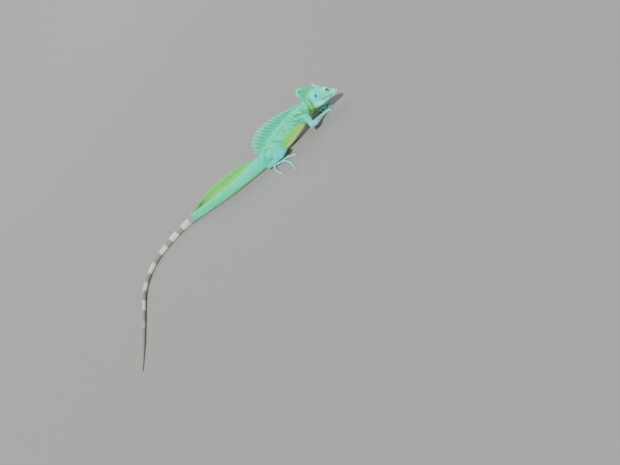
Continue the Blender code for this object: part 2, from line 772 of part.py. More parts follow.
def main():
    for obj in list(bpy.data.objects):
        bpy.data.objects.remove(obj)
    root = bpy.data.objects.new("basilisk", None)
    bpy.context.scene.collection.objects.link(root)
    frame = bpy.data.objects.new("head_frame", None)
    frame.parent = root
    frame.location = (SNOUT_X * MM, 0.0, SNOUT_Z * MM)
    frame.rotation_euler = (HEAD_ROLL, HEAD_PITCH, 0.0)
    bpy.context.scene.collection.objects.link(frame)
    tail = Tail()
    make_trunk(root)
    make_head(frame)
    make_head_crests(frame)
    make_fins(tail, root)
    make_tail(tail, root)
    for side, rows, digits in (("right", RIGHT, RIGHT_DIGITS), ("left", LEFT, LEFT_DIGITS)):
        make_limb(side, rows, digits, ("upper_arm", "forearm", "hand"), "hand", root)
        make_limb(side, rows, digits, ("thigh", "shin", "foot"), "foot", root)


main()
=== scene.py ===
"""Looks of an adult male green basilisk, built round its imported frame.

Tables are in millimetres and become metres where a mesh is made. +X runs from the hips to the snout,
+Y to the lizard's left, +Z up, and the floor is z = 0. A head place is (behind the snout, left, up).
"""

import math

import bmesh
import bpy
import numpy as np
from bpy.props import FloatProperty, FloatVectorProperty, PointerProperty
from bpy.types import Operator, Panel, PropertyGroup
from mathutils import Euler, Matrix, Vector
from mathutils.bvhtree import BVHTree
from mathutils.kdtree import KDTree


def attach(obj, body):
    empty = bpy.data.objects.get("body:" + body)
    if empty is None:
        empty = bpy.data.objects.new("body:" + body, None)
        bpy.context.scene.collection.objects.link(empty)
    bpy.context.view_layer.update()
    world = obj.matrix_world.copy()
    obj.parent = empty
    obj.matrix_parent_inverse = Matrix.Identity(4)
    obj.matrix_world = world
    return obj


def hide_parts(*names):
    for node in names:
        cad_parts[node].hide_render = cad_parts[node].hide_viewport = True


bl_info = {
    "name": "Green basilisk",
    "version": (1, 0, 0),
    "blender": (4, 5, 0),
    "location": "3D View > Sidebar > Basilisk",
    "description": "Skin, scales, eyes, claws and studio of a life-size green basilisk",
    "category": "Object",
}

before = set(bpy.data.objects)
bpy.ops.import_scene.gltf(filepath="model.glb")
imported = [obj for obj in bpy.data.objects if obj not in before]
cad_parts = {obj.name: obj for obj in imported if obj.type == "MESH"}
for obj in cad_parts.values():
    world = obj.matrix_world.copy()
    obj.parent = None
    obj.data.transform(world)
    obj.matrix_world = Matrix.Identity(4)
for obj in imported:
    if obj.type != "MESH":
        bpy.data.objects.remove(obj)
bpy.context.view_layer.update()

MM = 0.001
TAU = math.tau

# Region numbers of the skin, with how far each one's joins are rounded off
SPINE, UPPER, LOWER, END, DIGIT, BACK, REAR, NAPE, BROW, LID, SOCKET, PIT = range(12)
ROUNDING = {
    SPINE: 9.0, UPPER: 5.5, LOWER: 3.5, END: 2.6, DIGIT: 1.3, BACK: 2.4, REAR: 2.2,
    NAPE: 2.2, BROW: 1.8, LID: 1.3, SOCKET: 0.35, PIT: 0.5,
}
# Places round a spine ring are counted in spans, from the top down the left side and back up
SPANS = 32
# Steps between spine rings on head, trunk and tail, for the skin and for the rows of scales
SKIN_STEPS = (0.6, 1.2, 2.6)
SCALE_STEPS = (0.6, 1.0, 2.2)

# Place of the snout, its foremost point in the head's own directions, and the turn of the head
SNOUT = (150.4, 0.0, 19.4)
SNOUT_TIP = (0.0, 0.0, -0.3)
HEAD_TURN = (math.radians(-15.0), math.radians(24.0), 0.0)
# Head sections: distance behind the snout, crown, brow height, half widths of brow, cheek and lip, jaw height,
# half width of the jaw, throat
HEAD = [
    (1.0, 2.4, 1.4, 2.0, 2.6, 2.6, -3.4, 2.2, -3.9),
    (3.5, 4.6, 3.2, 3.6, 4.4, 4.6, -4.4, 3.8, -5.0),
    (8.0, 6.6, 5.0, 4.8, 6.0, 6.6, -5.2, 5.6, -6.2),
    (14.0, 8.8, 7.6, 6.0, 7.2, 8.2, -5.8, 7.0, -7.6),
    (20.0, 11.2, 10.8, 7.8, 8.4, 9.6, -6.4, 8.2, -9.6),
    (26.0, 13.6, 13.4, 8.6, 10.0, 10.8, -7.2, 9.2, -13.2),
    (32.0, 15.4, 14.0, 8.2, 11.6, 11.8, -9.2, 10.2, -16.8),
    (39.0, 17.0, 13.8, 7.6, 12.8, 12.4, -11.6, 10.9, -19.8),
    (48.0, 17.2, 11.8, 7.8, 13.2, 12.8, -12.4, 11.2, -23.6),
    (57.5, 9.6, 4.6, 8.6, 12.9, 12.6, -12.0, 11.4, -27.6),
]
# Mouth line: distance behind the snout, height, depth of the groove
MOUTH = [
    (0.0, -1.6, 0.5),
    (4.0, -1.9, 0.9),
    (20.0, -2.8, 0.9),
    (30.0, -3.5, 0.9),
    (35.0, -5.0, 0.8),
    (40.5, -4.8, 0.0),
    (57.5, -4.6, 0.0),
]
LIP_EDGE = 0.55
# Hollow of the orbit: distance, reach, depth
ORBIT = (25.3, 5.5, 0.9)
EYE = (25.3, 7.0, 9.0)
EYE_RADIUS = 4.7
EYE_PLAY = 0.05
SOCKET_PLAY = 0.12
CORNEA = 0.22
LID_RADIUS = 5.5
# Half length and half height of the opening between the lids
LID_OPENING = (3.45, 2.45)
NOSTRIL = (5.2, 3.9, 3.5)
NOSTRIL_RIM = (0.75, 0.75)
EAR = (48.0, 13.5, 4.2)
EAR_RADII = (2.3, 2.6, 3.1)
# Drum of the ear: distance from the middle, slope with height
EAR_DRUM = (11.75, -0.2)
# Crests of the head: root line, free edge, thickness at root and edge, shift of the sunken root, columns and rows
CRESTS = {
    NAPE: ([(45.0, 17.4), (49.5, 16.4), (54.0, 12.8), (58.0, 8.8), (63.5, 3.8)],
           [(46.8, 18.8), (57.7, 21.8), (65.7, 24.6), (74.0, 25.8), (79.8, 20.4), (77.4, 11.4), (68.0, 2.8)],
           (3.6, 1.0), (1.4, -2.1), (84, 26)),
    BROW: ([(30.5, 14.8), (35.5, 16.2), (41.0, 17.2)],
           [(31.0, 16.4), (38.0, 20.8), (45.0, 26.2), (46.8, 23.6), (42.6, 19.0)],
           (3.6, 1.3), (0.0, -2.0), (36, 14)),
}
# Rows of plates along the lips and above the eye: place in spans, first and last distance, length, width
PLATE_ROWS = [(7.8, 2.2, 36.0, 2.2, 1.9), (10.45, 3.3, 36.0, 2.2, 1.9), (3.05, 7.0, 18.5, 1.9, 1.4)]

# Trunk stations: x, top, bottom, half width, forward lean of the section in degrees
TRUNK = [
    (-46.0, 27.2, 0.0, 11.2, 0.0),
    (-34.0, 30.2, 0.0, 13.2, 0.0),
    (-20.0, 34.6, 0.0, 15.0, 0.0),
    (-4.0, 39.6, 0.0, 16.6, 0.0),
    (5.0, 42.1, 0.0, 17.2, 0.0),
    (18.0, 44.8, 1.7, 17.5, 0.0),
    (32.0, 46.8, 4.4, 17.2, 0.0),
    (48.0, 48.4, 8.2, 16.4, 0.0),
    (63.0, 49.6, 12.4, 15.4, 4.0),
    (76.5, 49.8, 14.8, 13.6, 16.0),
]
TRUNK_SQUARENESS = 2.25
TRUNK_KEEL = 0.30
# Angle at the centre from the lowest point to the edge of the flat that lies on the floor
TRUNK_FLAT = TAU / 32
NECK_WAIST = 0.05
NECK_LENGTH = 26.0

# Fins: root distance along the back, ray length, ray lean from upright in degrees
BACK_FIN = [
    (76.0, 3.0, 42.0),
    (60.0, 11.5, 33.0),
    (40.0, 22.5, 34.0),
    (20.0, 30.0, 35.0),
    (2.0, 33.5, 36.0),
    (-14.0, 31.0, 38.0),
    (-26.0, 23.0, 43.0),
    (-36.0, 11.0, 54.0),
]
BACK_RAYS = 18
# Lean of the folds that run on from the back fin's rays down the flank
FOLD_LEAN = math.radians(30.0)
TAIL_FIN = [
    (5.0, 4.0, 58.0),
    (20.0, 16.5, 47.0),
    (40.0, 25.5, 45.0),
    (65.0, 30.5, 45.0),
    (90.0, 29.5, 46.0),
    (120.0, 22.5, 48.0),
    (145.0, 14.5, 51.0),
    (166.0, 8.0, 55.0),
    (182.0, 3.0, 60.0),
]
TAIL_RAYS = 21
FIN_SINK = 3.0
SCALLOP = 0.13
FIN_ROOT_THICKNESS = 3.0
# Thickness of membrane and ray, at the root and at the edge
MEMBRANE = (1.1, 0.55)
RAY = (2.2, 1.05)
# Columns from one ray to the next: place, and how much of it is ray
RAY_STEPS = [(0.0, 1.0), (0.07, 0.75), (0.14, 0.25), (0.24, 0.0), (0.5, 0.0), (0.76, 0.0), (0.86, 0.25), (0.93, 0.75)]

# Tail: centre line on the floor, and distance, half depth, half width
TAIL_LENGTH = 560.0
TAIL_PATH = [
    (-46.0, 0.0), (-120.0, 6.0), (-178.0, 19.0), (-235.0, 33.0), (-266.0, 34.0), (-300.0, 25.0),
    (-333.0, 8.0), (-357.0, -20.0), (-372.0, -57.0), (-379.0, -110.0), (-387.0, -186.0), (-396.0, -243.0),
]
TAIL_GIRTH = [
    (0.0, 14.1, 11.2),
    (30.0, 12.4, 10.4),
    (60.0, 11.0, 9.2),
    (120.0, 9.2, 7.5),
    (180.0, 7.5, 6.2),
    (240.0, 6.1, 5.2),
    (300.0, 5.0, 4.4),
    (400.0, 3.7, 3.3),
    (500.0, 2.4, 2.2),
    (560.0, 1.0, 1.0),
]
TAIL_LEAD_IN = 30.0
TAIL_ROUND_FROM = 45.0
TAIL_FLAT = TAU / 16
TAIL_HEIGHT = math.cos(TAIL_FLAT)

# Limb lengths from root to end: x, y, z, half width, half height
RIGHT = {
    "upper_arm": [
        (72, -8, 30, 7.0, 8.0),
        (72, -16, 27, 6.8, 7.6),
        (71, -24, 21.5, 5.8, 6.4),
        (70, -30.5, 16.5, 5.2, 5.4),
    ],
    "forearm": [
        (70.5, -30.5, 16.5, 4.8, 5.0),
        (78, -25.5, 13.8, 5.6, 5.6),
        (88, -15.5, 9.8, 4.6, 4.4),
        (97, -7, 6.6, 3.6, 3.0),
    ],
    "hand": [(96, -7.8, 6.6, 3.2, 2.6), (102, -3.6, 4.6, 4.6, 2.6), (108, 0.6, 2.7, 5.0, 2.3)],
    "thigh": [
        (-30, -6, 20, 10.0, 10.5),
        (-20, -16, 20.5, 9.4, 10.0),
        (-8, -25.5, 19.6, 7.8, 8.6),
        (1.5, -31, 17.4, 6.0, 6.2),
    ],
    "shin": [
        (1, -31.5, 17.0, 5.4, 5.4),
        (-11, -31.5, 14.8, 6.2, 6.4),
        (-27, -27.5, 12, 4.8, 5.0),
        (-41, -22.8, 8.8, 3.5, 3.6),
    ],
    "foot": [
        (-42.5, -22.3, 8.4, 3.4, 3.4),
        (-34, -24, 6.2, 4.0, 3.0),
        (-24, -27, 4.0, 4.5, 2.6),
        (-15, -30, 2.6, 4.6, 2.3),
    ],
}
LEFT = {
    "upper_arm": [
        (72, 8, 30, 7.0, 8.0),
        (71, 16, 27, 6.8, 7.6),
        (68, 24.5, 21.5, 5.8, 6.4),
        (65, 31.5, 16, 5.2, 5.4),
    ],
    "forearm": [
        (65.5, 31.5, 16, 4.8, 5.0),
        (73, 31, 13.2, 5.6, 5.6),
        (84, 28, 9.4, 4.6, 4.4),
        (95, 25.5, 6.4, 3.6, 3.0),
    ],
    "hand": [(94, 25.7, 6.4, 3.2, 2.6), (100, 25, 4.5, 4.6, 2.6), (106, 25, 2.7, 5.0, 2.3)],
    "thigh": [
        (-30, 6, 20, 10.0, 10.5),
        (-21, 16.5, 20.5, 9.4, 10.0),
        (-10, 27, 19.6, 7.8, 8.6),
        (-1, 34, 17.2, 6.0, 6.2),
    ],
    "shin": [
        (-1.5, 34.2, 16.8, 5.4, 5.4),
        (-13, 35.5, 14.6, 6.2, 6.4),
        (-28.5, 32, 11.6, 4.8, 5.0),
        (-42, 28, 8.4, 3.5, 3.6),
    ],
    "foot": [
        (-43.5, 27.6, 8.0, 3.4, 3.4),
        (-35, 29.5, 6.0, 4.0, 3.0),
        (-25, 32.5, 4.0, 4.5, 2.6),
        (-16, 36, 2.6, 4.6, 2.3),
    ],
}
# Digits, first to fifth: root x, y, tip x, y, sideways bow of the middle
RIGHT_DIGITS = {
    "hand": [
        (104.5, 3.4, 104, 13.5, -1),
        (107.5, 3.6, 113.5, 18, -1),
        (109.5, 2.2, 125, 16.5, -1),
        (110, -0.4, 130.5, 8.5, -1),
        (107, -3, 121, -7, 1),
    ],
    "foot": [
        (-20, -26.5, -6, -21, 1),
        (-16.5, -28, 4, -29, 1),
        (-14, -30, 14, -46, 2),
        (-14, -32, -7, -88, 5),
        (-33, -26, -29, -66, -4),
    ],
}
LEFT_DIGITS = {
    "hand": [
        (102.5, 22.3, 108, 14, -1),
        (105.5, 22.9, 120, 18, -1),
        (107.5, 24.6, 130, 27.5, -1),
        (107, 27, 126, 38, 1),
        (103, 28.5, 109, 40.5, 1),
    ],
    "foot": [
        (-21, 32, -8, 25, -1),
        (-18, 34, 4, 31, -1),
        (-15, 36, 17, 41, -2),
        (-15.5, 38, 31, 67, -4),
        (-34, 31, -29, 66, 3),
    ],
}
SIDES = {"right": (RIGHT, RIGHT_DIGITS), "left": (LEFT, LEFT_DIGITS)}
DIGIT_RADIUS = {"hand": 1.8, "foot": 2.0}
DIGIT_INSET = 0.12
# Digit from root to claw: share of the length, girth, lift off the floor; and claw: share, height, half height
DIGIT_STEPS = [(0.0, 1.0, 0.6), (0.22, 0.82, 1.7), (0.5, 0.86, 0.9), (0.78, 0.70, 0.12)]
CLAW_LENGTH = 3.2
CLAW_STEPS = [(-0.45, 1.15, 0.62), (0.0, 1.45, 0.66), (0.35, 1.6, 0.52), (0.7, 1.15, 0.32), (0.92, 0.55, 0.14),
              (1.0, 0.25, 0.05)]

# Distances behind the snout where head, neck and trunk end
HEAD_END = HEAD[-1][0]
NECK_END = HEAD_END + NECK_LENGTH
VENT = NECK_END + TRUNK[-1][0] - TRUNK[0][0]

# Skin folds behind the jaw, over the shoulder and round the thigh: depth, then places along the side as x, z
FOLDS = [
    (0.9, [(95.0, 50.0), (94.4, 43.0), (93.6, 35.0), (92.4, 27.0), (92.0, 20.0)]),
    (0.55, [(88.5, 49.0), (86.5, 42.0), (84.5, 33.0), (82.5, 24.0)]),
    (0.6, [(71.0, 45.5), (74.5, 39.5), (79.0, 32.0), (80.5, 25.0)]),
    (0.75, [(55.0, 43.8), (62.0, 42.2), (69.6, 38.4), (76.0, 33.0)]),
    (0.7, [(48.0, 38.6), (56.7, 34.4), (64.0, 30.6)]),
    (0.5, [(44.0, 33.6), (53.0, 30.6), (62.0, 26.0)]),
    (0.5, [(-6.0, 34.5), (4.0, 30.0), (10.0, 23.0)]),
    (0.5, [(-38.0, 22.0), (-33.0, 27.0), (-24.0, 31.0)]),
]
# Pale bands of the tail behind the vent: start, end, strength
BANDS = [
    (192.0, 213.0, 0.85), (228.0, 247.0, 0.95), (262.0, 281.0, 0.95), (304.0, 328.0, 0.95),
    (350.0, 371.0, 0.9), (398.0, 424.0, 0.8), (452.0, 468.0, 0.3),
]
# Length of tail in one strip of its map
STRIP = 140.0

# Camera: the picture in pixels, the place on the back that it aims at and where that place shows, millimetres
# in a pixel, the slope of the back in the picture in degrees, the camera's elevation and its sensor
PICTURE = (620.0, 465.0)
AIM = (0.0, 0.0, 30.0)
AIM_SHOWN = (275.0, 140.0)
PIXEL = 1.89
SLOPE = 42.0
ELEVATION = math.radians(25.0)
SENSOR = 36.0
FLOOR_SIDES = 72
# Lights: heading, strength, softness in degrees
LIGHTS = {
    "key": ((-0.35, -0.72, 1.0), 4.7, 7.0),
    "fill": ((0.9, -1.0, 0.4), 0.5, 40.0),
    "rim": ((-0.3, 1.0, 0.9), 0.9, 30.0),
}
SKY = (0.95, 0.98, 1.0, 1.0)
SKY_STRENGTH = 0.5


def shaped(rows, at):
    """Columns of a table at many stations, along cubic arcs that never overshoot a row."""
    table = np.asarray(rows, float)
    if table[0, 0] > table[-1, 0]:
        table = table[::-1]
    x, y = table[:, 0], table[:, 1:]
    step = np.diff(x)[:, None]
    slope = np.diff(y, axis=0) / step
    tangent = np.zeros_like(y)
    agree = slope[:-1] * slope[1:] > 0
    total = np.where(agree, slope[:-1] + slope[1:], 1.0)
    tangent[1:-1] = np.where(agree, 2 * slope[:-1] * slope[1:] / total, 0.0)
    tangent[0], tangent[-1] = slope[0], slope[-1]
    at = np.atleast_1d(np.asarray(at, float))
    i = np.clip(np.searchsorted(x, at) - 1, 0, len(x) - 2)
    return hermite(y[i], y[i + 1], tangent[i] * step[i], tangent[i + 1] * step[i],
                   np.clip((at - x[i])[:, None] / step[i], 0.0, 1.0))


def hermite(a, b, out_of_a, into_b, t):
    """Cubic arc from a to b with its slopes at both ends."""
    return ((2 * t**3 - 3 * t**2 + 1) * a + (t**3 - 2 * t**2 + t) * out_of_a
            + (3 * t**2 - 2 * t**3) * b + (t**3 - t**2) * into_b)


def flowing(points, count):
    """Evenly counted points on a smooth curve through the given ones."""
    p = np.asarray(points, float)
    p = np.vstack([2 * p[0] - p[1], p, 2 * p[-1] - p[-2]])
    u = np.linspace(0.0, len(p) - 3, count)
    i = np.minimum(u.astype(int), len(p) - 4)
    t = (u - i)[:, None]
    a, b, c, d = p[i], p[i + 1], p[i + 2], p[i + 3]
    return 0.5 * (2 * b + (c - a) * t + (2 * a - 5 * b + 4 * c - d) * t**2 + (3 * b - a - 3 * c + d) * t**3)


def closed_curve(loops, at):
    """Points on smooth closed curves through each loop of points, at places counted in points."""
    step = np.roll(loops, -1, axis=1) - loops
    length = np.maximum(np.linalg.norm(step, axis=2, keepdims=True), 1e-6)
    slope = step / length
    before, before_length = np.roll(slope, 1, axis=1), np.roll(length, 1, axis=1)
    tangent = (slope * before_length + before * length) / (length + before_length)
    i = at.astype(int) % loops.shape[1]
    j = (i + 1) % loops.shape[1]
    t = (at - at.astype(int))[None, :, None]
    return hermite(loops[:, i], loops[:, j], tangent[:, i] * length[:, i], tangent[:, j] * length[:, i], t)


def smooth_step(low, high, x):
    """0 up to low and 1 from high on, or the other way round where high is the lower one."""
    t = np.clip((np.asarray(x, float) - low) / (high - low), 0.0, 1.0)
    return t * t * (3 - 2 * t)


def bump_at(x, centre, width):
    """1 at a centre, falling off smoothly on both sides."""
    return np.exp(-(((np.asarray(x, float) - centre) / width) ** 2))


def wave_noise(points, size, seed):
    """Smooth random field in -1..1 from a few waves of one size, the same in every run."""
    draw = np.random.default_rng(seed)
    total = np.zeros(len(points))
    for _ in range(7):
        heading = draw.normal(size=3)
        heading /= np.linalg.norm(heading)
        total += np.sin(points @ heading * TAU / (size * draw.uniform(0.7, 1.5)) + draw.uniform(0, TAU))
    return total / 4.0


def between(x, start, full, fading, end):
    """0 up to start, 1 from full to fading, and 0 again from end on."""
    return smooth_step(start, full, x) * (1 - smooth_step(fading, end, x))


def patches(points, size, seed, low, high):
    """Soft patches where a wave noise is high."""
    return smooth_step(low, high, wave_noise(points, size, seed))


def unit(rows):
    """The same headings at length one."""
    return rows / np.maximum(np.linalg.norm(rows, axis=-1, keepdims=True), 1e-12)


def distances(line):
    """Distance travelled at each point of a line."""
    return np.concatenate([[0.0], np.cumsum(np.linalg.norm(np.diff(line, axis=0), axis=1))])


def read(at, places, table):
    """Rows of a table at places between its own."""
    return np.stack([np.interp(at, places, column) for column in np.asarray(table).T], axis=-1)


def stacked(count, *values):
    """Table with a column for each value, given once or for every row."""
    return np.stack([np.broadcast_to(np.ravel(value), count) for value in values], axis=1).astype(float)


def above_floor(points):
    """Raise to the floor what lies under it."""
    points[..., 2] = np.maximum(points[..., 2], 0.0)
    return points


def search_tree(points):
    tree = KDTree(len(points))
    for i, place in enumerate(points):
        tree.insert(place, i)
    tree.balance()
    return tree


def level_of(turn):
    """How far down its ring a place lies on either side, from 0 at the top to 1 underneath."""
    return np.minimum(turn, SPANS - turn) * 2 / SPANS


def head_turn():
    return np.array(Euler(HEAD_TURN).to_matrix())


def in_world(points):
    """Places given as forward, left, up from the snout tip, in the animal's own frame."""
    return np.asarray(points, float) @ head_turn().T + np.array(SNOUT)


def in_head(points):
    """Places as behind the snout, left, up."""
    local = (np.asarray(points, float) - np.array(SNOUT)) @ head_turn()
    return local * np.array([-1.0, 1.0, 1.0])


def on_side(place, way):
    """A place behind the snout, left, up as forward, left, up on the left, way 1, or the right, way -1."""
    return np.array([-place[0], way * place[1], place[2]])


def side_gap(local, centre, radii=(1.0, 1.0)):
    """How far head places lie from a centre, seen from the side and counted in radii."""
    return np.hypot((local[:, 0] - centre[0]) / radii[0], (local[:, 2] - centre[-1]) / radii[-1])


def ring_places():
    """Places round a spine ring, close together at the lips."""
    half = np.concatenate([np.arange(0, 7, 0.5), np.arange(7, 11, 0.2), np.arange(11, 16.01, 0.5)])
    return np.concatenate([half, SPANS - half[-2:0:-1]])


def head_rings(distance, at, grow):
    """Sections of the head at distances behind the snout tip."""
    distance = np.asarray(distance, float)
    crown, brow_z, brow_w, cheek_w, lip_w, jaw_z, jaw_w, throat = shaped(HEAD, distance).T
    mouth, groove = shaped(MOUTH, distance).T
    orbit = ORBIT[2] * bump_at(distance, ORBIT[0], ORBIT[1])
    cheek_z = 0.5 * brow_z + 0.5 * mouth
    drop = throat - jaw_z
    lip_w = lip_w + 0.25 * np.minimum(groove, 0.8)
    half = [
        (0 * crown, crown),
        (0.36 * brow_w, crown - 0.08 * (crown - brow_z)),
        (0.72 * brow_w, crown - 0.38 * (crown - brow_z)),
        (brow_w, brow_z),
        (0.72 * brow_w + 0.28 * cheek_w - orbit, 0.72 * brow_z + 0.28 * cheek_z),
        (0.35 * brow_w + 0.65 * cheek_w - orbit, 0.35 * brow_z + 0.65 * cheek_z),
        (cheek_w, cheek_z),
        (0.5 * cheek_w + 0.5 * lip_w, 0.5 * cheek_z + 0.5 * mouth),
        (lip_w, mouth + LIP_EDGE),
        (lip_w - groove, mouth),
        (lip_w - 0.15, mouth - LIP_EDGE),
        (0.45 * lip_w + 0.55 * jaw_w, 0.5 * mouth + 0.5 * jaw_z),
        (jaw_w, jaw_z),
        (0.90 * jaw_w, jaw_z + 0.32 * drop),
        (0.72 * jaw_w, jaw_z + 0.64 * drop),
        (0.42 * jaw_w, jaw_z + 0.90 * drop),
        (0 * crown, throat),
    ]
    whole = half + [(-y, z) for y, z in half[-2:0:-1]]
    loops = np.stack([np.stack(pair, axis=1) for pair in whole], axis=1)
    section = closed_curve(loops, at)
    middle = 0.5 * (crown + throat)[:, None]
    stretch = 1 + grow / (0.5 * (crown - throat))[:, None]
    y = section[..., 0] + grow * np.clip(section[..., 0], -1, 1)
    z = middle + (section[..., 1] - middle) * stretch
    back = np.repeat(-distance[:, None], y.shape[1], axis=1)
    return in_world(np.stack([back, y, z], axis=2))


def snout_rings(at, grow):
    """Rounded end of the snout in front of the first section."""
    first = head_rings([HEAD[0][0]], at, grow)[0]
    middle, tip = first.mean(axis=0), in_world(SNOUT_TIP)
    return np.array([tip + (middle - tip) * (1 - math.cos(turn)) + (first - middle) * math.sin(turn)
                     for turn in map(math.radians, (12.0, 30.0, 48.0, 66.0, 80.0))])


def trunk_rings(x, at, grow):
    """Sections of the trunk at places along the body."""
    x = np.atleast_1d(np.asarray(x, float))
    top, bottom, half_width, lean = shaped(TRUNK, x).T[:, :, None]
    half_height = (top - bottom) / (1 + math.cos(TRUNK_FLAT))
    y, z = oval(half_width + grow, half_height + grow, at, TRUNK_SQUARENESS, TRUNK_KEEL, TRUNK_FLAT)
    lean = np.radians(lean)
    return np.stack([x[:, None] + z * np.sin(lean), y, top - half_height + z * np.cos(lean)], axis=2)


def oval(half_width, half_height, at, squareness, keel, flat):
    """Sections across and up from their centres, flattened underneath."""
    angle = TAU * at / SPANS
    across, up = np.sin(angle), np.cos(angle)
    y = half_width * np.sign(across) * np.abs(across) ** (2 / squareness)
    z = half_height * np.sign(up) * np.abs(up) ** (2 / squareness)
    y = y * (1 - keel * np.maximum(z / half_height, 0.0) ** 3)
    return y, np.maximum(z, -half_height * math.cos(flat))


def neck_rings(t, at, grow):
    """Sections from the trunk's first one, t = 0, to the head's last one, t = 1."""
    edge = TRUNK[-1][0]
    trunk = trunk_rings([edge, edge - 2.0], at, grow)
    head = head_rings([HEAD_END, HEAD_END - 2.0], at, grow)
    bend = 0.6 * NECK_LENGTH / 2.0
    t = np.asarray(t, float)[:, None, None]
    rings = hermite(trunk[0], head[0], bend * (trunk[0] - trunk[1]), bend * (head[1] - head[0]), t)
    centre = rings.mean(axis=1, keepdims=True)
    return centre + (rings - centre) * (1 - NECK_WAIST * np.sin(math.pi * t))


class TailLine:
    """Tail by distance behind the vent."""

    def __init__(self):
        self.line = flowing(TAIL_PATH, 600)
        along = distances(self.line)
        self.along = along * TAIL_LENGTH / along[-1]

    def place(self, distance):
        return read(distance, self.along, self.line)

    def top(self, distance):
        return shaped(TAIL_GIRTH, distance)[:, 0] * (1 + TAIL_HEIGHT)

    def rings(self, distance, at, grow):
        half_depth, half_width = shaped(TAIL_GIRTH, distance).T[:, :, None]
        ahead, behind = np.minimum(distance + 2.0, TAIL_LENGTH), np.maximum(distance - 2.0, 0.0)
        heading = unit(self.place(ahead) - self.place(behind))
        turned = np.minimum(distance / TAIL_LEAD_IN, 1.0)[:, None]
        ahead, left = unit(heading * turned + np.array([-1.0, 0.0]) * (1 - turned)).T[:, :, None]
        lead = np.clip(distance / TAIL_ROUND_FROM, 0, 1)[:, None]
        squareness = TRUNK_SQUARENESS + (2.0 - TRUNK_SQUARENESS) * lead
        across, up = oval(half_width + grow, half_depth + grow, at, squareness, TRUNK_KEEL * (1 - lead), TAIL_FLAT)
        x, y = self.place(distance).T[:, :, None]
        return above_floor(np.stack([x + left * across, y - ahead * across, half_depth * TAIL_HEIGHT + up], axis=2))


TAIL = TailLine()


def spine_rings(step_head, step_trunk, step_tail, grow):
    """Rings from snout to tail tip, with each ring's distance behind the snout."""
    at = ring_places()
    snout = snout_rings(at, grow)
    head = np.arange(HEAD[0][0], HEAD_END - 0.2, step_head)
    neck = np.arange(1.0, 0.0, -step_trunk / NECK_LENGTH)
    trunk = np.arange(TRUNK[-1][0], TRUNK[0][0] + 0.4, -step_trunk)
    front = np.arange(0.0, 190.0, step_trunk * 1.4)
    tail = np.concatenate([front, np.arange(front[-1] + step_tail, TAIL_LENGTH - 0.8, step_tail)])
    rings = np.concatenate([
        snout, head_rings(head, at, grow), neck_rings(neck, at, grow), trunk_rings(trunk, at, grow),
        TAIL.rings(tail, at, grow)])
    along = np.concatenate([
        np.linspace(0.1, 0.9, len(snout)), head, HEAD_END + (1 - neck) * NECK_LENGTH,
        NECK_END + TRUNK[-1][0] - trunk, VENT + tail])
    return above_floor(rings), along, at


def tube_rings(rows, sides, count, grow=0.0, round_start=True, round_end=True):
    """Sections of a limb length through rows of x, y, z, half width, half height."""
    line = flowing(rows, count)
    centres, sizes = line[:, :3], line[:, 3:] + grow
    tangents = unit(np.gradient(centres, axis=0))
    if round_start:
        centres, tangents, sizes = rounded(centres, tangents, sizes, 0, -1)
    if round_end:
        centres, tangents, sizes = rounded(centres, tangents, sizes, -1, 1)
    side = unit(np.cross(tangents, (0.0, 0.0, 1.0)))
    up = np.cross(side, tangents)
    angle = TAU * np.arange(sides) / sides
    return above_floor(centres[:, None] + side[:, None] * (sizes[:, :1] * np.sin(angle))[..., None]
                       + up[:, None] * (sizes[:, 1:] * np.cos(angle))[..., None])


def rounded(centres, tangents, sizes, which, way):
    """Sections with a rounded end added in front or behind."""
    turns = np.radians([18.0, 36.0, 52.0, 66.0, 78.0])
    reach = way * 0.95 * float(np.mean(sizes[which]))
    middle = centres[which] + tangents[which] * (reach * np.sin(turns))[:, None]
    girth = sizes[which] * np.cos(turns)[:, None]
    heading = np.repeat(tangents[which][None], len(turns), axis=0)
    if way < 0:
        return (np.vstack([middle[::-1], centres]), np.vstack([heading, tangents]),
                np.vstack([girth[::-1], sizes]))
    return np.vstack([centres, middle]), np.vstack([tangents, heading]), np.vstack([sizes, girth])


def limbs():
    """Each limb: three lengths, digits, kind of its end, and a code, 1 for an arm and 2 for a leg, minus on the
    right side."""
    for side, (rows, digits) in SIDES.items():
        for number, kind in enumerate(("hand", "foot")):
            lengths = list(rows.values())[3 * number:3 * number + 3]
            yield lengths, digits[kind], kind, (number + 1) * (1 if side == "left" else -1)


def digit_line(row, kind):
    """Rows of a toe or finger from the palm to the root of its claw, the claw's rows, and the length."""
    start, end, bow = np.array(row[:2], float), np.array(row[2:4], float), row[4]
    length = float(np.linalg.norm(end - start))
    ahead = (end - start) / length
    across = np.array([-ahead[1], ahead[0]])
    share = 1 - CLAW_LENGTH / length
    radius = DIGIT_RADIUS[kind]

    def place(u):
        return start + ahead * length * u + across * bow * math.sin(math.pi * u)

    digit = [(*place(u), radius * girth * 0.88 + lift, radius * girth, radius * girth)
             for u, girth, lift in (*DIGIT_STEPS, (share, 0.62, 0.0))]
    claw = [(*(place(share) + ahead * CLAW_LENGTH * u), height, girth * 0.8, girth)
            for u, height, girth in CLAW_STEPS]
    return digit, claw, length


class Region:
    """Points and faces of one closed surface, with its region number and own coordinates at every point."""

    def __init__(self, points, faces, kind, along=0.0, turn=0.0, rise=0.0, ray=0.0, side=0):
        self.points, self.faces = np.asarray(points, float), faces
        self.coords = stacked(len(points), kind, along, turn, rise, ray, side)


def ring_faces(count, sides):
    """Quads between neighbouring rings."""
    a = np.arange(count - 1)[:, None] * sides + np.arange(sides)
    b = np.arange(count - 1)[:, None] * sides + (np.arange(sides) + 1) % sides
    return np.stack([a, b, b + sides, a + sides], axis=2).reshape(-1, 4).tolist()


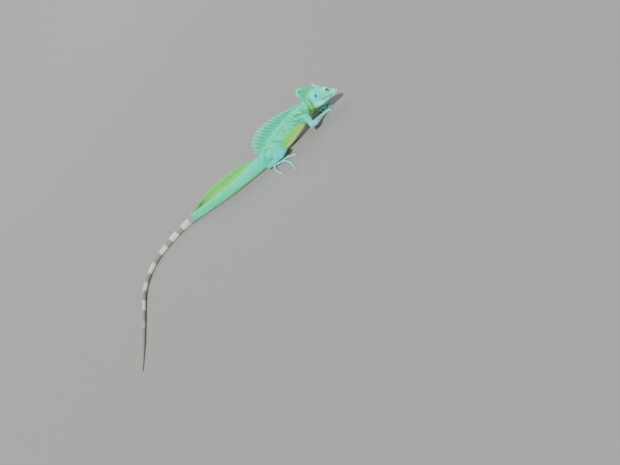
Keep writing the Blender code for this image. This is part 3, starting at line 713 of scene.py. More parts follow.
def loft(rings, kind, along=0.0, start=None, end=None, turn=None, side=0):
    """Closed surface over rings of equal count, drawn to a point at each end."""
    count, sides = rings.shape[:2]
    faces = ring_faces(count, sides)
    points = list(rings.reshape(-1, 3))
    for ring, first, tip in ((rings[0], 0, start), (rings[-1], (count - 1) * sides, end)):
        points.append(ring.mean(axis=0) if tip is None else np.asarray(tip, float))
        faces += [(first + k, first + (k + 1) % sides, len(points) - 1) for k in range(sides)]
    along = np.broadcast_to(along, count)
    turn = np.arange(sides) * SPANS / sides if turn is None else turn
    return Region(points, faces, kind, np.append(np.repeat(along, sides), along[[0, -1]]),
                  np.append(np.tile(turn, count), [0.0, 0.0]), side=side)


def sheet(middles, halves, kind, along, rise, ray):
    """Closed sheet from a grid of middle points and half thicknesses along Y, alike on both faces."""
    columns, rows = halves.shape
    lift = np.stack([0 * halves, halves, 0 * halves], axis=2)
    points = np.concatenate([(middles + lift).reshape(-1, 3), (middles - lift).reshape(-1, 3)])
    other = columns * rows
    a = (np.arange(columns - 1)[:, None] * rows + np.arange(rows - 1)).ravel()
    near = np.stack([a, a + rows, a + rows + 1, a + 1], axis=1)
    faces = near.tolist() + (near[:, ::-1] + other).tolist()
    rim = [(c * rows, (c + 1) * rows) for c in range(columns - 1)]
    rim += [((c + 1) * rows + rows - 1, c * rows + rows - 1) for c in range(columns - 1)]
    rim += [(r + 1, r) for r in range(rows - 1)]
    rim += [((columns - 1) * rows + r, (columns - 1) * rows + r + 1) for r in range(rows - 1)]
    faces += [(a, a + other, b + other, b) for a, b in rim]
    along, rise, ray = (np.tile(np.broadcast_to(v, halves.shape).ravel(), 2) for v in (along, rise, ray))
    return Region(points, faces, kind, along, 0.0, rise, ray)


def fin_columns(rays):
    """Columns of a fin: place counted in rays, place between two rays, and how much of it is ray."""
    offset, share = np.array(RAY_STEPS * (rays - 1) + RAY_STEPS[:1]).T
    return np.append(np.repeat(np.arange(rays - 1), len(RAY_STEPS)), rays - 1) + offset, offset, share


def on_back(root, along, lean):
    x = root - along * np.sin(lean)
    top = shaped(TRUNK, np.minimum(root[:, 0], TRUNK[-1][0]))[:, :1]
    return np.stack([x, 0 * x, top + along * np.cos(lean)], axis=2)


def on_tail(root, along, lean):
    flat = TAIL.place(root + along * np.sin(lean))
    return np.concatenate([flat, (TAIL.top(root[:, 0])[:, None] + along * np.cos(lean))[..., None]], axis=2)


FINS = {BACK: (BACK_FIN, BACK_RAYS, on_back), REAR: (TAIL_FIN, TAIL_RAYS, on_tail)}


def fin(kind):
    """Rayed fin from below its root to its edge, its rays raised in its own surface."""
    rows, rays, place = FINS[kind]
    count, offset, share = fin_columns(rays)
    step = (rows[-1][0] - rows[0][0]) / (rays - 1)
    root = rows[0][0] + count * step
    length, lean = shaped(rows, root).T
    reach = length * (1 - SCALLOP * np.sin(math.pi * offset)) + 0.5 * share * (offset == 0)
    fade = np.concatenate([[-1.0, 0.0], np.linspace(0.05, 0.86, 17), [0.91, 0.95, 0.98, 1.0]])
    along = np.where(fade < 0, -FIN_SINK, fade * reach[:, None])
    rise = np.broadcast_to(np.maximum(fade, 0.0), along.shape)
    thin = MEMBRANE[0] + (MEMBRANE[1] - MEMBRANE[0]) * rise
    thick = RAY[0] + (RAY[1] - RAY[0]) * rise
    half = 0.5 * (thin + (thick - thin) * share[:, None])
    root_half = 0.5 * FIN_ROOT_THICKNESS
    half = np.where(along <= 0, root_half, half + (root_half - half) * np.exp(-along / 1.3))
    half *= np.where(fade >= 0.999, 0.55, np.where(fade > 0.96, 0.85, 1.0))
    middles = place(root[:, None], along, np.radians(lean)[:, None])
    middles[..., 1] += 0.25 * np.sin(root[:, None] * 0.9 + rise * 5.0) * rise
    return sheet(middles, half, kind, root[:, None], rise, share[:, None])


def crest(kind):
    """Flat crest of the head between its root line and its free edge, with veins and a thicker rim."""
    root, edge, thickness, sink, (columns, rows) = CRESTS[kind]
    low, high = flowing(root, columns), flowing(edge, columns)
    v = np.concatenate([[-1.0], np.linspace(0.0, 1.0, rows)])
    rise = np.maximum(v, 0.0)
    flat = low[:, None] + (high - low)[:, None] * rise[None, :, None]
    fan = np.linspace(0, 1, columns)[:, None]
    half = 0.5 * (thickness[0] + (thickness[1] - thickness[0]) * np.sqrt(rise)) + 0.22 * bump_at(rise, 0.9, 0.09)
    half = half + 0.16 * np.maximum(np.cos(fan * TAU * 6.5), 0) ** 3 * np.sin(math.pi * rise)
    half = half * np.where(v >= 0.999, 0.5, np.where(v > 0.93, 0.86, 1.0))
    wave = 0.35 * np.sin(fan * 7.0 + 1.0) * rise ** 2
    middles = np.stack([-flat[..., 0], wave, flat[..., 1]], axis=2)
    middles[:, 0] += np.array([sink[0], 0.0, sink[1]])
    region = sheet(middles, half, kind, fan, rise, 0.0)
    region.points = in_world(region.points)
    return region


def ball(centre, radii, kind, segments):
    """Closed ellipsoid whose poles lie across the head."""
    polar = np.linspace(0, math.pi, segments // 2 + 1)[1:-1][:, None]
    angle = TAU * np.arange(segments) / segments
    rings = centre + np.stack([radii[0] * np.sin(polar) * np.cos(angle), radii[1] * np.cos(polar) + 0 * angle,
                               radii[2] * np.sin(polar) * np.sin(angle)], axis=2)
    pole = np.array([0.0, radii[1], 0.0])
    return loft(rings, kind, start=centre + pole, end=centre - pole)


def linked(name, data):
    """Object of some data, placed in the scene."""
    obj = bpy.data.objects.new(name, data)
    bpy.context.scene.collection.objects.link(obj)
    return obj


def in_metres(region, name):
    """Mesh object of a region, with its faces turned outward."""
    mesh = bpy.data.meshes.new(name)
    mesh.from_pydata((region.points * MM).tolist(), [], region.faces)
    work = bmesh.new()
    work.from_mesh(mesh)
    bmesh.ops.triangulate(work, faces=[f for f in work.faces if len(f.verts) > 3], quad_method="FIXED")
    bmesh.ops.recalc_face_normals(work, faces=work.faces)
    work.to_mesh(mesh)
    work.free()
    return linked(name, mesh)


def combine(target, pieces, operation):
    """Union with or cut by closed pieces, which are then removed."""
    group = bpy.data.collections.new("pieces")
    for piece in pieces:
        group.objects.link(piece)
    modifier = target.modifiers.new("shape", "BOOLEAN")
    modifier.operation = operation
    modifier.operand_type = "COLLECTION"
    modifier.collection = group
    modifier.solver = "MANIFOLD"
    bpy.context.view_layer.update()
    result = bpy.data.meshes.new_from_object(target.evaluated_get(bpy.context.evaluated_depsgraph_get()))
    target.modifiers.clear()
    old, target.data = target.data, result
    bpy.data.meshes.remove(old)
    for piece in pieces:
        mesh = piece.data
        bpy.data.objects.remove(piece)
        bpy.data.meshes.remove(mesh)
    bpy.data.collections.remove(group)


def body_regions(inset):
    """Every region of flesh before they are joined, the spine first."""
    rings, along, at = spine_rings(*SKIN_STEPS, -inset)
    tip = np.append(TAIL.place(TAIL_LENGTH), 0.5)
    regions = [loft(rings, SPINE, along, start=in_world(SNOUT_TIP), end=tip, turn=at)]
    for lengths, digits, kind, code in limbs():
        for part, rows in zip((UPPER, LOWER, END), lengths):
            tube = tube_rings(rows, 36, 40, -inset)
            regions.append(loft(tube, part, np.linspace(0, 1, len(tube)), side=code))
        regions += [digit(row, kind, code) for row in digits]
    regions += [fin(kind) for kind in FINS] + [crest(kind) for kind in CRESTS]
    for way in (1, -1):
        lid = ball(on_side(EYE, way), (LID_RADIUS,) * 3, LID, 72)
        lid.points = in_world(lid.points)
        regions.append(lid)
    return regions


def digit(row, kind, code):
    """Toe or finger with ringed scales and swollen joints, flat underneath."""
    line, _, length = digit_line(row, kind)
    rings = tube_rings(line, 12, int(length / 0.45), -DIGIT_INSET, round_start=False)
    travel = np.linspace(0, 1, len(rings))
    joints = sum(bump_at(travel, at, 0.05) for at in (0.34, 0.6, 0.82))
    scute = (travel * length / 1.35) % 1.0
    swell = 1 + 0.10 * joints + 0.075 * (scute - 0.5) * smooth_step(0.02, 0.12, travel)
    centre = rings.mean(axis=1, keepdims=True)
    return loft(above_floor(centre + (rings - centre) * swell[:, None, None]), DIGIT, travel, side=code)


def cut_regions(eye_radius):
    """Eye sockets, lid openings, nostrils and ear pits."""
    cuts = []
    for way in (1, -1):
        slit = (EYE[0], EYE[1] + LID_RADIUS + 0.3, EYE[2])
        ear = ball(on_side(EAR, way), EAR_RADII, PIT, 44)
        drum = EAR_DRUM[0] + EAR_DRUM[1] * (ear.points[:, 2] - EAR[2])
        ear.points[:, 1] = way * np.maximum(way * ear.points[:, 1], drum)
        cuts += [ball(on_side(EYE, way), (eye_radius + SOCKET_PLAY,) * 3, SOCKET, 40),
                 ball(on_side(slit, way), (LID_OPENING[0], LID_RADIUS, LID_OPENING[1]), SOCKET, 56),
                 ball(on_side(NOSTRIL, way), (NOSTRIL_RIM[0], 1.0, 0.6), PIT, 16), ear]
    for cut in cuts:
        cut.points = in_world(cut.points)
    return cuts


class Surface:
    """Joined skin as arrays in millimetres, with each point's region and own coordinates."""

    def __init__(self, mesh, regions):
        mesh.calc_loop_triangles()
        points = np.empty(len(mesh.vertices) * 3)
        mesh.vertices.foreach_get("co", points)
        self.points = points.reshape(-1, 3) / MM
        faces = np.empty(len(mesh.loop_triangles) * 3, int)
        mesh.loop_triangles.foreach_get("vertices", faces)
        self.faces = faces.reshape(-1, 3)
        pairs = np.concatenate([self.faces[:, [0, 1]], self.faces[:, [1, 2]], self.faces[:, [2, 0]]])
        self.edges = np.unique(np.sort(pairs, axis=1), axis=0)
        tree = search_tree(np.concatenate([region.points for region in regions]))
        coords = np.concatenate([region.coords for region in regions])
        self.coords = coords[[tree.find(place)[1] for place in self.points]]
        self.neighbours = self.around(np.ones(len(self.points)))

    def around(self, values):
        """Sum of the values of each point's neighbours."""
        a, b = self.edges.T
        return np.bincount(a, values[b], len(self.points)) + np.bincount(b, values[a], len(self.points))

    def spread(self, values, times):
        """Values averaged over neighbours a number of times."""
        for _ in range(times):
            values = 0.5 * values + 0.5 * self.around(values) / self.neighbours
        return values

    def round_joins(self):
        """Round off the lines where regions meet, each by its own width."""
        kind = self.coords[:, 0].astype(int)
        width = np.array(list(ROUNDING.values()))[kind]
        a, b = self.edges[kind[self.edges[:, 0]] != kind[self.edges[:, 1]]].T
        reach, weight, passes = np.zeros((3, len(self.points)))
        for one in (a, b):
            np.maximum.at(reach, one, np.minimum(width[a], width[b]))
        for size in np.unique(reach[reach > 0]):
            tree = search_tree(self.points[reach == size])
            near = 1 - smooth_step(0.25 * size, size, np.array([tree.find(p)[2] for p in self.points]))
            weight = np.maximum(weight, near)
            passes = np.maximum(passes, np.where(near > 0, max(3.0, 9.0 * size), 0.0))
        for step in range(int(passes.max())):
            mean = np.stack([self.around(column) for column in self.points.T], axis=1) / self.neighbours[:, None]
            self.points += (0.6 * weight * (passes > step))[:, None] * (mean - self.points)
        above_floor(self.points)

    def normals(self):
        p = self.points[self.faces]
        face = np.cross(p[:, 1] - p[:, 0], p[:, 2] - p[:, 0])
        out = np.zeros_like(self.points)
        for k in range(3):
            for c in range(3):
                out[:, c] += np.bincount(self.faces[:, k], face[:, c], len(out))
        return unit(out)


def nearest_on_line(points, line):
    """Distance from flat points to a polyline."""
    best = np.full(len(points), 1e9)
    for a, b in zip(line[:-1], line[1:]):
        span = b - a
        t = np.clip((points - a) @ span / max(span @ span, 1e-9), 0, 1)
        best = np.minimum(best, np.linalg.norm(points - a - t[:, None] * span, axis=1))
    return best


def ray_phase(points):
    """Place between the back fin's rays of a point of the flank, and its depth below the back."""
    top = shaped(TRUNK, np.clip(points[:, 0], TRUNK[0][0], TRUNK[-1][0]))[:, 0]
    depth = top - points[:, 2]
    root = points[:, 0] - depth * math.tan(FOLD_LEAN)
    step = (BACK_FIN[-1][0] - BACK_FIN[0][0]) / (BACK_RAYS - 1)
    return (root - BACK_FIN[0][0]) / step, depth, root


def creases(points, kind):
    """Strength of the folds that run from the fin's rays down the flank."""
    phase, depth, root = ray_phase(points)
    phase = phase + 0.11 * wave_noise(points, 15.0, 6)
    profile = (0.5 - 0.5 * np.cos(TAU * phase)) ** 3 * (0.72 + 0.3 * wave_noise(points, 11.0, 7))
    fade = 1 - smooth_step(2.0, 16.0, depth + 4.0 * wave_noise(points, 19.0, 5))
    inside = smooth_step(-40, -30, root) * (1 - smooth_step(66, 78, root))
    return profile * fade * inside * (kind == SPINE) * (points[:, 0] < 80)


def fold_depth(points, kind):
    """Depth of the skin folds and the swelling beside them."""
    cut, swell = np.zeros((2, len(points)))
    flank = (kind == SPINE) & (points[:, 0] > -60) & (points[:, 0] < 105)
    beside = points[flank]
    flat = beside[:, [0, 2]] + 0.5 * np.stack([wave_noise(beside, 11.0, 3), wave_noise(beside, 13.0, 4)], axis=1)
    for depth, line in FOLDS:
        gap = nearest_on_line(flat, flowing(line, 24))
        cut[flank] = np.maximum(cut[flank], depth * bump_at(gap, 0.0, 0.85))
        swell[flank] = np.maximum(swell[flank], 0.55 * depth * bump_at(gap, 2.1, 1.2))
    return cut, swell


def fold_shade(rib, cut):
    """Darkening of the ribs and folds, the same on skin and scales."""
    return np.clip(0.55 * rib + 1.15 * np.sqrt(cut), 0, 1)


def lid_relief(local, kind):
    """Thickened rims of the lids and the folds round them, deeper above the eye."""
    near = (np.abs(local[:, 1]) > 7.0) & np.isin(kind, (LID, SPINE)) & (local[:, 0] < 40)
    opening = side_gap(local, EYE, LID_OPENING)
    above = 0.7 + 0.5 * smooth_step(-0.3, 0.6, (local[:, 2] - EYE[2]) / LID_OPENING[1])
    folds = 0.24 * bump_at(opening, 1.1, 0.09) - 0.2 * above * bump_at(opening, 1.33, 0.06)
    folds += 0.1 * bump_at(opening, 1.5, 0.07) - 0.16 * above * bump_at(opening, 1.68, 0.06)
    return near * folds


def relief(surface, folding):
    """Raise and lower the skin: muscle, folds, creases and fine wrinkles. Returns the shade of its folds."""
    p, local = surface.points, in_head(surface.points)
    kind, along, turn = surface.coords[:, :3].T
    level, spine = level_of(turn), kind == SPINE
    height = 0.10 * wave_noise(p, 17.0, 1) + 0.05 * wave_noise(p, 6.0, 2)
    height *= np.where(np.isin(kind, (SPINE, UPPER, LOWER, END)), 1.0, 0.25)
    height *= np.where(spine, smooth_step(4, 22, along), 1.0)
    crease = creases(p, kind)
    cut, swell = fold_depth(p, kind)
    height += folding * (-0.28 * crease - cut + swell)
    neck = spine * bump_at(along, 0.5 * (HEAD_END + NECK_END), 11.0)
    height += 0.16 * neck * np.sin(along * TAU / 3.4 + 1.2 * wave_noise(p, 9.0, 8)) * smooth_step(0.25, 0.5, level)
    throat = spine * between(along, 22, 30, 70, 80) * smooth_step(0.74, 0.86, level)
    height += 0.14 * throat * np.sin(p[:, 1] * TAU / 2.6 + wave_noise(p, 12.0, 9))
    cheek = spine * bump_at(along, 41.0, 6.0) * bump_at(level, 0.42, 0.11)
    brow = spine * bump_at(along, 20.5, 5.5) * bump_at(level, 0.19, 0.05)
    height += 0.8 * cheek + 0.35 * brow + lid_relief(local, kind)
    beside = spine & (along < HEAD_END) & (np.abs(local[:, 1]) > 6)
    height += 0.3 * beside * bump_at(side_gap(local, EAR, EAR_RADII), 1.22, 0.16)
    joints = (kind == LOWER) * bump_at(along, 0.1, 0.1) + (kind == UPPER) * bump_at(along, 0.93, 0.08)
    height += 0.12 * joints * np.sin(along * 95.0)
    surface.points = above_floor(p + surface.normals() * height[:, None])
    return fold_shade(crease, cut)


# Marks painted over the base colour, each a strength from 0 to 1 on every point, and the dark spot of the crest
# Brown and dark also paint shade and a brown reflection, and gold a highlight on the belly's edge, as noted where
# each is set.
MARKS = ("blue", "green", "lime", "gold", "brown", "ash", "bone", "pale", "dark")
CREST_SPOT = (73.8, 20.5)


def marks(p, coords, crease):
    """Strength of each mark at points of any region, so that skin and scales wear the same ones."""
    kind, along, turn, rise, ray, side = coords.T
    level, local, x = level_of(turn), in_head(p), p[:, 0]
    behind, up, tail_at = local[:, 0], local[:, 2], along - VENT
    spine, nape, back, rear = (kind == k for k in (SPINE, NAPE, BACK, REAR))
    upper, lower, end, digits = (kind == k for k in (UPPER, LOWER, END, DIGIT))
    head, tail = spine & (along < HEAD_END), spine & (along > VENT)
    body, front = spine & ~head & ~tail, spine & (x > 60)
    fore, hind = np.abs(side) == 1, np.abs(side) == 2
    above_mouth = up - shaped(MOUTH, np.clip(behind, 0, HEAD_END))[:, 0]
    above_jaw = up - shaped(HEAD, np.clip(behind, 1, HEAD_END))[:, 5]
    blotch = wave_noise(p, 14.0, 21)
    out = {name: np.zeros(len(p)) for name in MARKS}

    # Head
    out["blue"] += 0.95 * front * bump_at(behind, 43, 13) * bump_at(up, 2, 9) * (0.8 + 0.3 * blotch)
    out["lime"] += 0.5 * head * between(behind, 2, 7, 30, 36) * bump_at(above_mouth, 1.3, 0.9)
    out["pale"] += 0.8 * head * between(behind, 2, 10, 44, 58) * smooth_step(-0.2, -1.4, above_mouth) \
        * smooth_step(-3.0, 0.0, above_jaw)
    out["pale"] += 0.5 * head * smooth_step(22, 10, behind)
    # Painted shade with a painted brown reflection under the jaw, behind the mouth and down the throat.
    out["brown"] += 0.95 * (head + body * smooth_step(78, 88, x)) * smooth_step(22, 40, behind) \
        * smooth_step(-1.0, -5.5, above_jaw)
    # Dark mouth line: partly the lips' own dark edge, partly painted shade in the groove between the lips and under
    # the upper lip.
    out["dark"] += 0.95 * head * (along < 40) * bump_at(level, 0.5625, 0.04375)
    out["dark"] += 0.5 * head * bump_at(above_mouth, -0.2, 1.1) * between(behind, 3, 8, 37, 44)
    beside_eye = (np.abs(local[:, 1]) > 6.0) & (head | (kind == LID))
    opening = side_gap(local, EYE, LID_OPENING)
    out["gold"] += 0.6 * beside_eye * smooth_step(1.85, 1.2, opening)
    # Painted shade round the rim of the lid opening, where the lids close over the eye.
    out["dark"] += 0.85 * beside_eye * smooth_step(1.1, 0.98, opening)
    out["pale"] += 0.35 * beside_eye * bump_at(opening, 1.9, 0.3)
    beside = (np.abs(local[:, 1]) > 2.0) & (head | (kind == PIT))
    ear = side_gap(local, EAR, EAR_RADII)
    # The ear drum is painted brown and dark as the shade in its pit, darkest near the pit's wall; the inside of the
    # eye sockets is painted dark as shade.
    drum = beside * smooth_step(1.0, 0.85, ear)
    out["brown"] += 0.7 * drum
    out["dark"] += drum * (0.5 + 0.5 * smooth_step(0.35, 0.95, ear)) + (kind == SOCKET)
    # Painted shade in the nostril.
    out["dark"] += beside * smooth_step(1.1, 0.75, side_gap(local, NOSTRIL, NOSTRIL_RIM))

    # Neck, shoulder and trunk
    neck = front * smooth_step(105, 86, x + 2.5 * blotch)
    out["green"] += 0.5 * neck * smooth_step(62, 84, x) * smooth_step(0.3, 0.55, level)
    out["lime"] += 0.6 * neck * smooth_step(68, 78, x) * smooth_step(0.5, 0.7, level)
    shoulder = (neck + body * (x <= 60)) * smooth_step(56, 64, x) * smooth_step(0.22, 0.32, level)
    out["lime"] += 0.7 * shoulder * patches(p, 8.0, 25, -0.2, 0.4)
    # Painted shade: dark patches for the creases at the shoulder, and the shade of the ribs and folds everywhere.
    out["dark"] += 0.35 * shoulder * patches(p, 6.0, 28, 0.3, 0.7) + 0.7 * crease
    flank = body * between(level, 0.1, 0.2, 0.45, 0.6)
    out["pale"] += 0.25 * flank * patches(p, 8.0, 23, 0.35, 0.8) * (1 - crease)
    out["green"] += 0.45 * flank * patches(p, 7.0, 24, 0.3, 0.8) + 0.3 * body * smooth_step(0.1, 0.5, blotch)
    edge = np.interp(x, [-50, 45, 54, 64], [0.44, 0.46, 0.53, 0.74])
    panel = body * smooth_step(-4, 14, x + 9.0 * (level - 0.6)) * smooth_step(70, 60, x) \
        * smooth_step(-0.08, 0.07, level - edge + 0.012 * blotch + 0.018 * wave_noise(p, 5.0, 22))
    out["lime"] += panel
    # Yellow rim along the belly's lower edge: partly its own yellow stripe, partly a painted highlight on the edge
    # that turns under.
    out["gold"] += panel * bump_at(level, 0.72, 0.10)
    # Painted shade with a painted brown reflection underneath the trunk and the tail.
    under = np.where(tail_at < 0, 0.84 - 0.12 * smooth_step(-20, 0, tail_at), 0.72)
    out["brown"] += 0.5 * (body | tail) * smooth_step(under, 0.96, level)
    rump = body * smooth_step(-20, -44, x) + tail * smooth_step(50, 0, tail_at)
    out["blue"] += 0.33 * rump * smooth_step(0.75, 0.5, level)

    # Tail
    out["green"] += 0.25 * tail * smooth_step(30, 90, tail_at)
    out["lime"] += 0.5 * spine * between(tail_at, -9, 12, 95, 150) * smooth_step(0.5, 0.72, level)
    out["ash"] += tail * (smooth_step(158, 205, tail_at)
                          + 0.35 * smooth_step(110, 160, tail_at) * smooth_step(0.36, 0.18, level))
    for first, last, strength in BANDS:
        band = between(tail_at, first - 2, first + 2, last - 2, last + 2)
        out["bone"] += strength * tail * band * (1 - 0.5 * smooth_step(0.6, 0.9, level))

    # Limbs
    out["blue"] += hind * (0.75 * lower + 0.5 * upper * smooth_step(0.3, 0.8, along))
    out["blue"] += fore * (0.55 * lower + 0.3 * upper) + 0.55 * (end | digits)
    out["pale"] += fore * (0.8 * lower + 0.6 * upper * smooth_step(0.4, 0.95, along)) \
        * (0.75 + 0.35 * wave_noise(p, 7.0, 26))
    out["pale"] += 0.45 * hind * lower * patches(p, 10.0, 27, 0.1, 0.5) + 0.6 * digits + 0.5 * end

    # Fins and crests
    membrane = 1 - ray
    out["green"] += 0.8 * nape * between(rise, 0.05, 0.3, 0.62, 0.9)
    out["green"] += 0.4 * back * membrane * smooth_step(0.95, 0.55, rise)
    out["lime"] += 0.95 * rear * between(along, 8, 30, 150, 178) * (1 - 0.35 * ray)
    out["brown"] += 0.85 * rear * bump_at(along, 143, 17) * smooth_step(0.2, 0.6, rise)
    out["pale"] += back * (0.95 * ray * smooth_step(0.25, 0.75, rise) + 0.45 * smooth_step(0.6, 1.0, rise))
    out["pale"] += rear * (0.35 * ray * smooth_step(0.5, 1.0, rise) + 0.3 * smooth_step(0.85, 1.0, rise))
    out["pale"] += 0.6 * nape * smooth_step(0.84, 0.97, rise) + 0.7 * (kind == BROW) * smooth_step(0.0, 0.7, rise)
    out["dark"] += 0.3 * nape * patches(p, 6.5, 29, 0.3, 0.8) * smooth_step(0.9, 0.7, rise)
    out["dark"] += 0.9 * nape * bump_at(side_gap(local, CREST_SPOT), 0.0, 1.7)
    out["dark"] += 0.5 * back * bump_at(membrane, 0.6, 0.45) * smooth_step(0.1, 0.5, rise)
    out["dark"] += 0.55 * rear * bump_at(membrane, 0.55, 0.45) * smooth_step(0.15, 0.6, rise)
    return {name: np.clip(value, 0, 1) for name, value in out.items()}


class Socket:
    """An output of a shader node; sums and products with it add Math nodes."""

    def __init__(self, kit, socket):
        self.kit, self.socket = kit, socket

    def _math(self, operation, a, b):
        return self.kit.node("ShaderNodeMath", {"operation": operation}, {0: a, 1: b})

    def __add__(self, other):
        return self._math("ADD", self, other)

    def __sub__(self, other):
        return self._math("SUBTRACT", self, other)

    def __mul__(self, other):
        return self._math("MULTIPLY", self, other)

    def __rsub__(self, other):
        return self._math("SUBTRACT", other, self)

    __radd__, __rmul__ = __add__, __mul__


class Kit:
    """Builds the nodes of one material."""

    def __init__(self, name):
        self.material = bpy.data.materials.new(name)
        self.material.use_nodes = True
        self.tree = self.material.node_tree
        self.place = self.node("ShaderNodeTexCoord", output="Object")

    def node(self, kind, settings=None, inputs=None, output=0):
        """Add a node: its settings first, then its sockets' values or links."""
        node = self.tree.nodes.new(kind)
        for name, value in (settings or {}).items():
            if name == "stops":
                self.stops(node.color_ramp, value)
            else:
                setattr(node, name, value)
        self.plug(node, inputs or {})
        return Socket(self, node.outputs[output])

    def stops(self, ramp, stops):
        while len(ramp.elements) < len(stops):
            ramp.elements.new(0.5)
        for element, (at, colour) in zip(ramp.elements, stops):
            element.position, element.color = at, rgba(colour)

    def plug(self, node, inputs):
        for name, value in inputs.items():
            if isinstance(value, Socket):
                self.tree.links.new(value.socket, node.inputs[name])
            else:
                node.inputs[name].default_value = value

    def mask(self, name):
        return self.node("ShaderNodeAttribute", {"attribute_name": name}, output="Fac")

    def mix(self, factor, a, b):
        return self.node("ShaderNodeMix", {"data_type": "RGBA", "clamp_factor": True},
                         {0: factor, 6: a, 7: b}, output=2)

    def noise(self, scale, detail=2.0):
        return self.node("ShaderNodeTexNoise", None, {"Vector": self.place, "Scale": scale, "Detail": detail})

    def dim(self, colour, amount):
        return self.node("ShaderNodeVectorMath", {"operation": "SCALE"}, {0: colour, "Scale": amount})

    def finish(self, inputs):
        self.plug(self.tree.nodes["Principled BSDF"], inputs)
        return self.material


def rgba(colour):
    return (*colour, 1.0)


def skin_material(colours):
    """Mint skin with its marks, mottled from the size of a hand down to single scales, and darker between the scales
    as painted shade.
    """
    kit = Kit("basilisk_skin")
    broad, mottle, fine = kit.noise(42.0), kit.noise(230.0, 3.0), kit.noise(900.0)
    colour = kit.mix((broad - 0.35) * 2.2, rgba(colours.body), rgba(colours.flank))
    colour = kit.mix((mottle - 0.5) * 1.6, colour, rgba(colours.body_light))
    for name in MARKS:
        colour = kit.mix(kit.mask(name) * (0.55 + 0.9 * mottle), colour, rgba(getattr(colours, name)))
    tone = kit.mask("tone")
    # Where crown is low, at the scales' sunken edges and on the bare skin between scales, the colour is darkened as
    # painted shade; tone, fine and mottle vary it at random.
    colour = kit.dim(colour, 0.45 + 0.22 * tone + 0.24 * kit.mask("crown") + 0.24 * fine + 0.34 * mottle)
    cells = kit.node("ShaderNodeTexVoronoi", {"feature": "DISTANCE_TO_EDGE"}, {"Vector": kit.place, "Scale": 1500.0})
    bump = kit.node("ShaderNodeBump", None, {"Strength": 0.25, "Distance": 0.00012, "Height": cells})
    return kit.finish({"Base Color": colour, "Roughness": 0.34 + 0.24 * mottle + 0.1 * tone, "Normal": bump,
                       "Specular IOR Level": 0.3})


def claw_material(colours):
    kit = Kit("basilisk_claw")
    streak = kit.noise(1800.0, 3.0)
    colour = kit.dim(kit.mix(kit.mask("reach"), rgba(colours.claw), rgba(colours.claw_tip)), 0.75 + 0.5 * streak)
    return kit.finish({"Base Color": colour, "Roughness": 0.22 + 0.2 * streak, "Specular IOR Level": 0.5})


def eye_material(colours):
    """Round pupil, bright ring, golden iris and dark rim, by the angle from the gaze."""
    kit = Kit("basilisk_eye")
    fleck, streak = kit.noise(2600.0, 3.0), kit.mask("streak")
    polar = kit.mask("polar") + 0.035 * (fleck - 0.5) + 0.025 * (streak - 0.5)
    stops = [(0.0, colours.pupil), (0.215, colours.pupil), (0.235, colours.iris_ring), (0.275, colours.iris_ring),
             (0.33, colours.iris), (0.50, colours.iris), (0.62, colours.iris_rim), (0.70, colours.pupil),
             (1.0, colours.pupil)]
    colour = kit.node("ShaderNodeValToRGB", {"stops": stops}, {"Fac": polar})
    return kit.finish({"Base Color": kit.dim(colour, 0.35 + 0.75 * streak + 0.4 * fleck),
                       "Roughness": 0.14 + 0.06 * fleck, "Coat Weight": 1.0, "Coat Roughness": 0.03,
                       "Specular IOR Level": 0.5})


def floor_material(colours):
    kit = Kit("studio_floor")
    grain = kit.noise(3.0, 4.0)
    return kit.finish({"Base Color": kit.dim(tuple(colours.floor), 0.985 + 0.03 * grain),
                       "Roughness": 0.75 + 0.1 * grain})


def mesh_object(name, points, faces, values, material):
    """Mesh object from millimetre places and lists of faces, with one number per point under each name."""
    mesh = bpy.data.meshes.new(name)
    mesh.from_pydata((np.asarray(points) * MM).tolist(), [], faces)
    for key, value in values.items():
        attribute = mesh.attributes.new(key, "FLOAT", "POINT")
        attribute.data.foreach_set("value", np.asarray(value, np.float32))
    mesh.shade_smooth()
    mesh.materials.append(material)
    return linked(name, mesh)


# Scale shapes as places along the lie, across it and up, in parts of a scale's length, width and lift
KEELED = [(-0.54, 0.0, -0.4), (-0.08, 0.52, -0.35), (0.34, 0.34, 0.2), (0.64, 0.0, 0.5), (0.34, -0.34, 0.2),
          (-0.08, -0.52, -0.35), (0.06, 0.0, 1.0), (0.0, 0.0, -1.6)]
# Crown of each corner, 1 raised and 0 sunken; the material darkens the low corners as painted shade.
KEELED_CROWN = [0.0, 0.05, 0.5, 0.75, 0.5, 0.05, 1.0, 1.0]
PLATE_SIDES = 8
# Size of a scale on its piece's map, and the boxes of the map by piece: left, low, width, height
SPOT = 0.003
WHOLE_BOX = (0.0, 0.0, 1.0, 1.0)
HEAD_BOX = (0.0, 0.0, 0.6, 1.0)
CREST_BOXES = {NAPE: [(0.62, 0.0, 0.37, 0.24), (0.62, 0.25, 0.37, 0.24)],
               BROW: [(0.62, 0.5, 0.15, 0.24), (0.62, 0.75, 0.15, 0.24)]}
LID_BOXES = {1: (0.78, 0.5, 0.2, 0.24), -1: (0.78, 0.75, 0.2, 0.24)}
# Spacing of the small scales by distance behind the vent: along, across
PITCHES = np.array([(-40, 1.2, 1.35), (0, 1.3, 1.4), (120, 1.5, 1.5), (560, 1.3, 0.95)])


def keeled_shape():
    faces = [((i + 1) % 6, i, 6) for i in range(6)] + [(i, (i + 1) % 6, 7) for i in range(6)]
    return np.array(KEELED), np.array(faces), np.array(KEELED_CROWN)


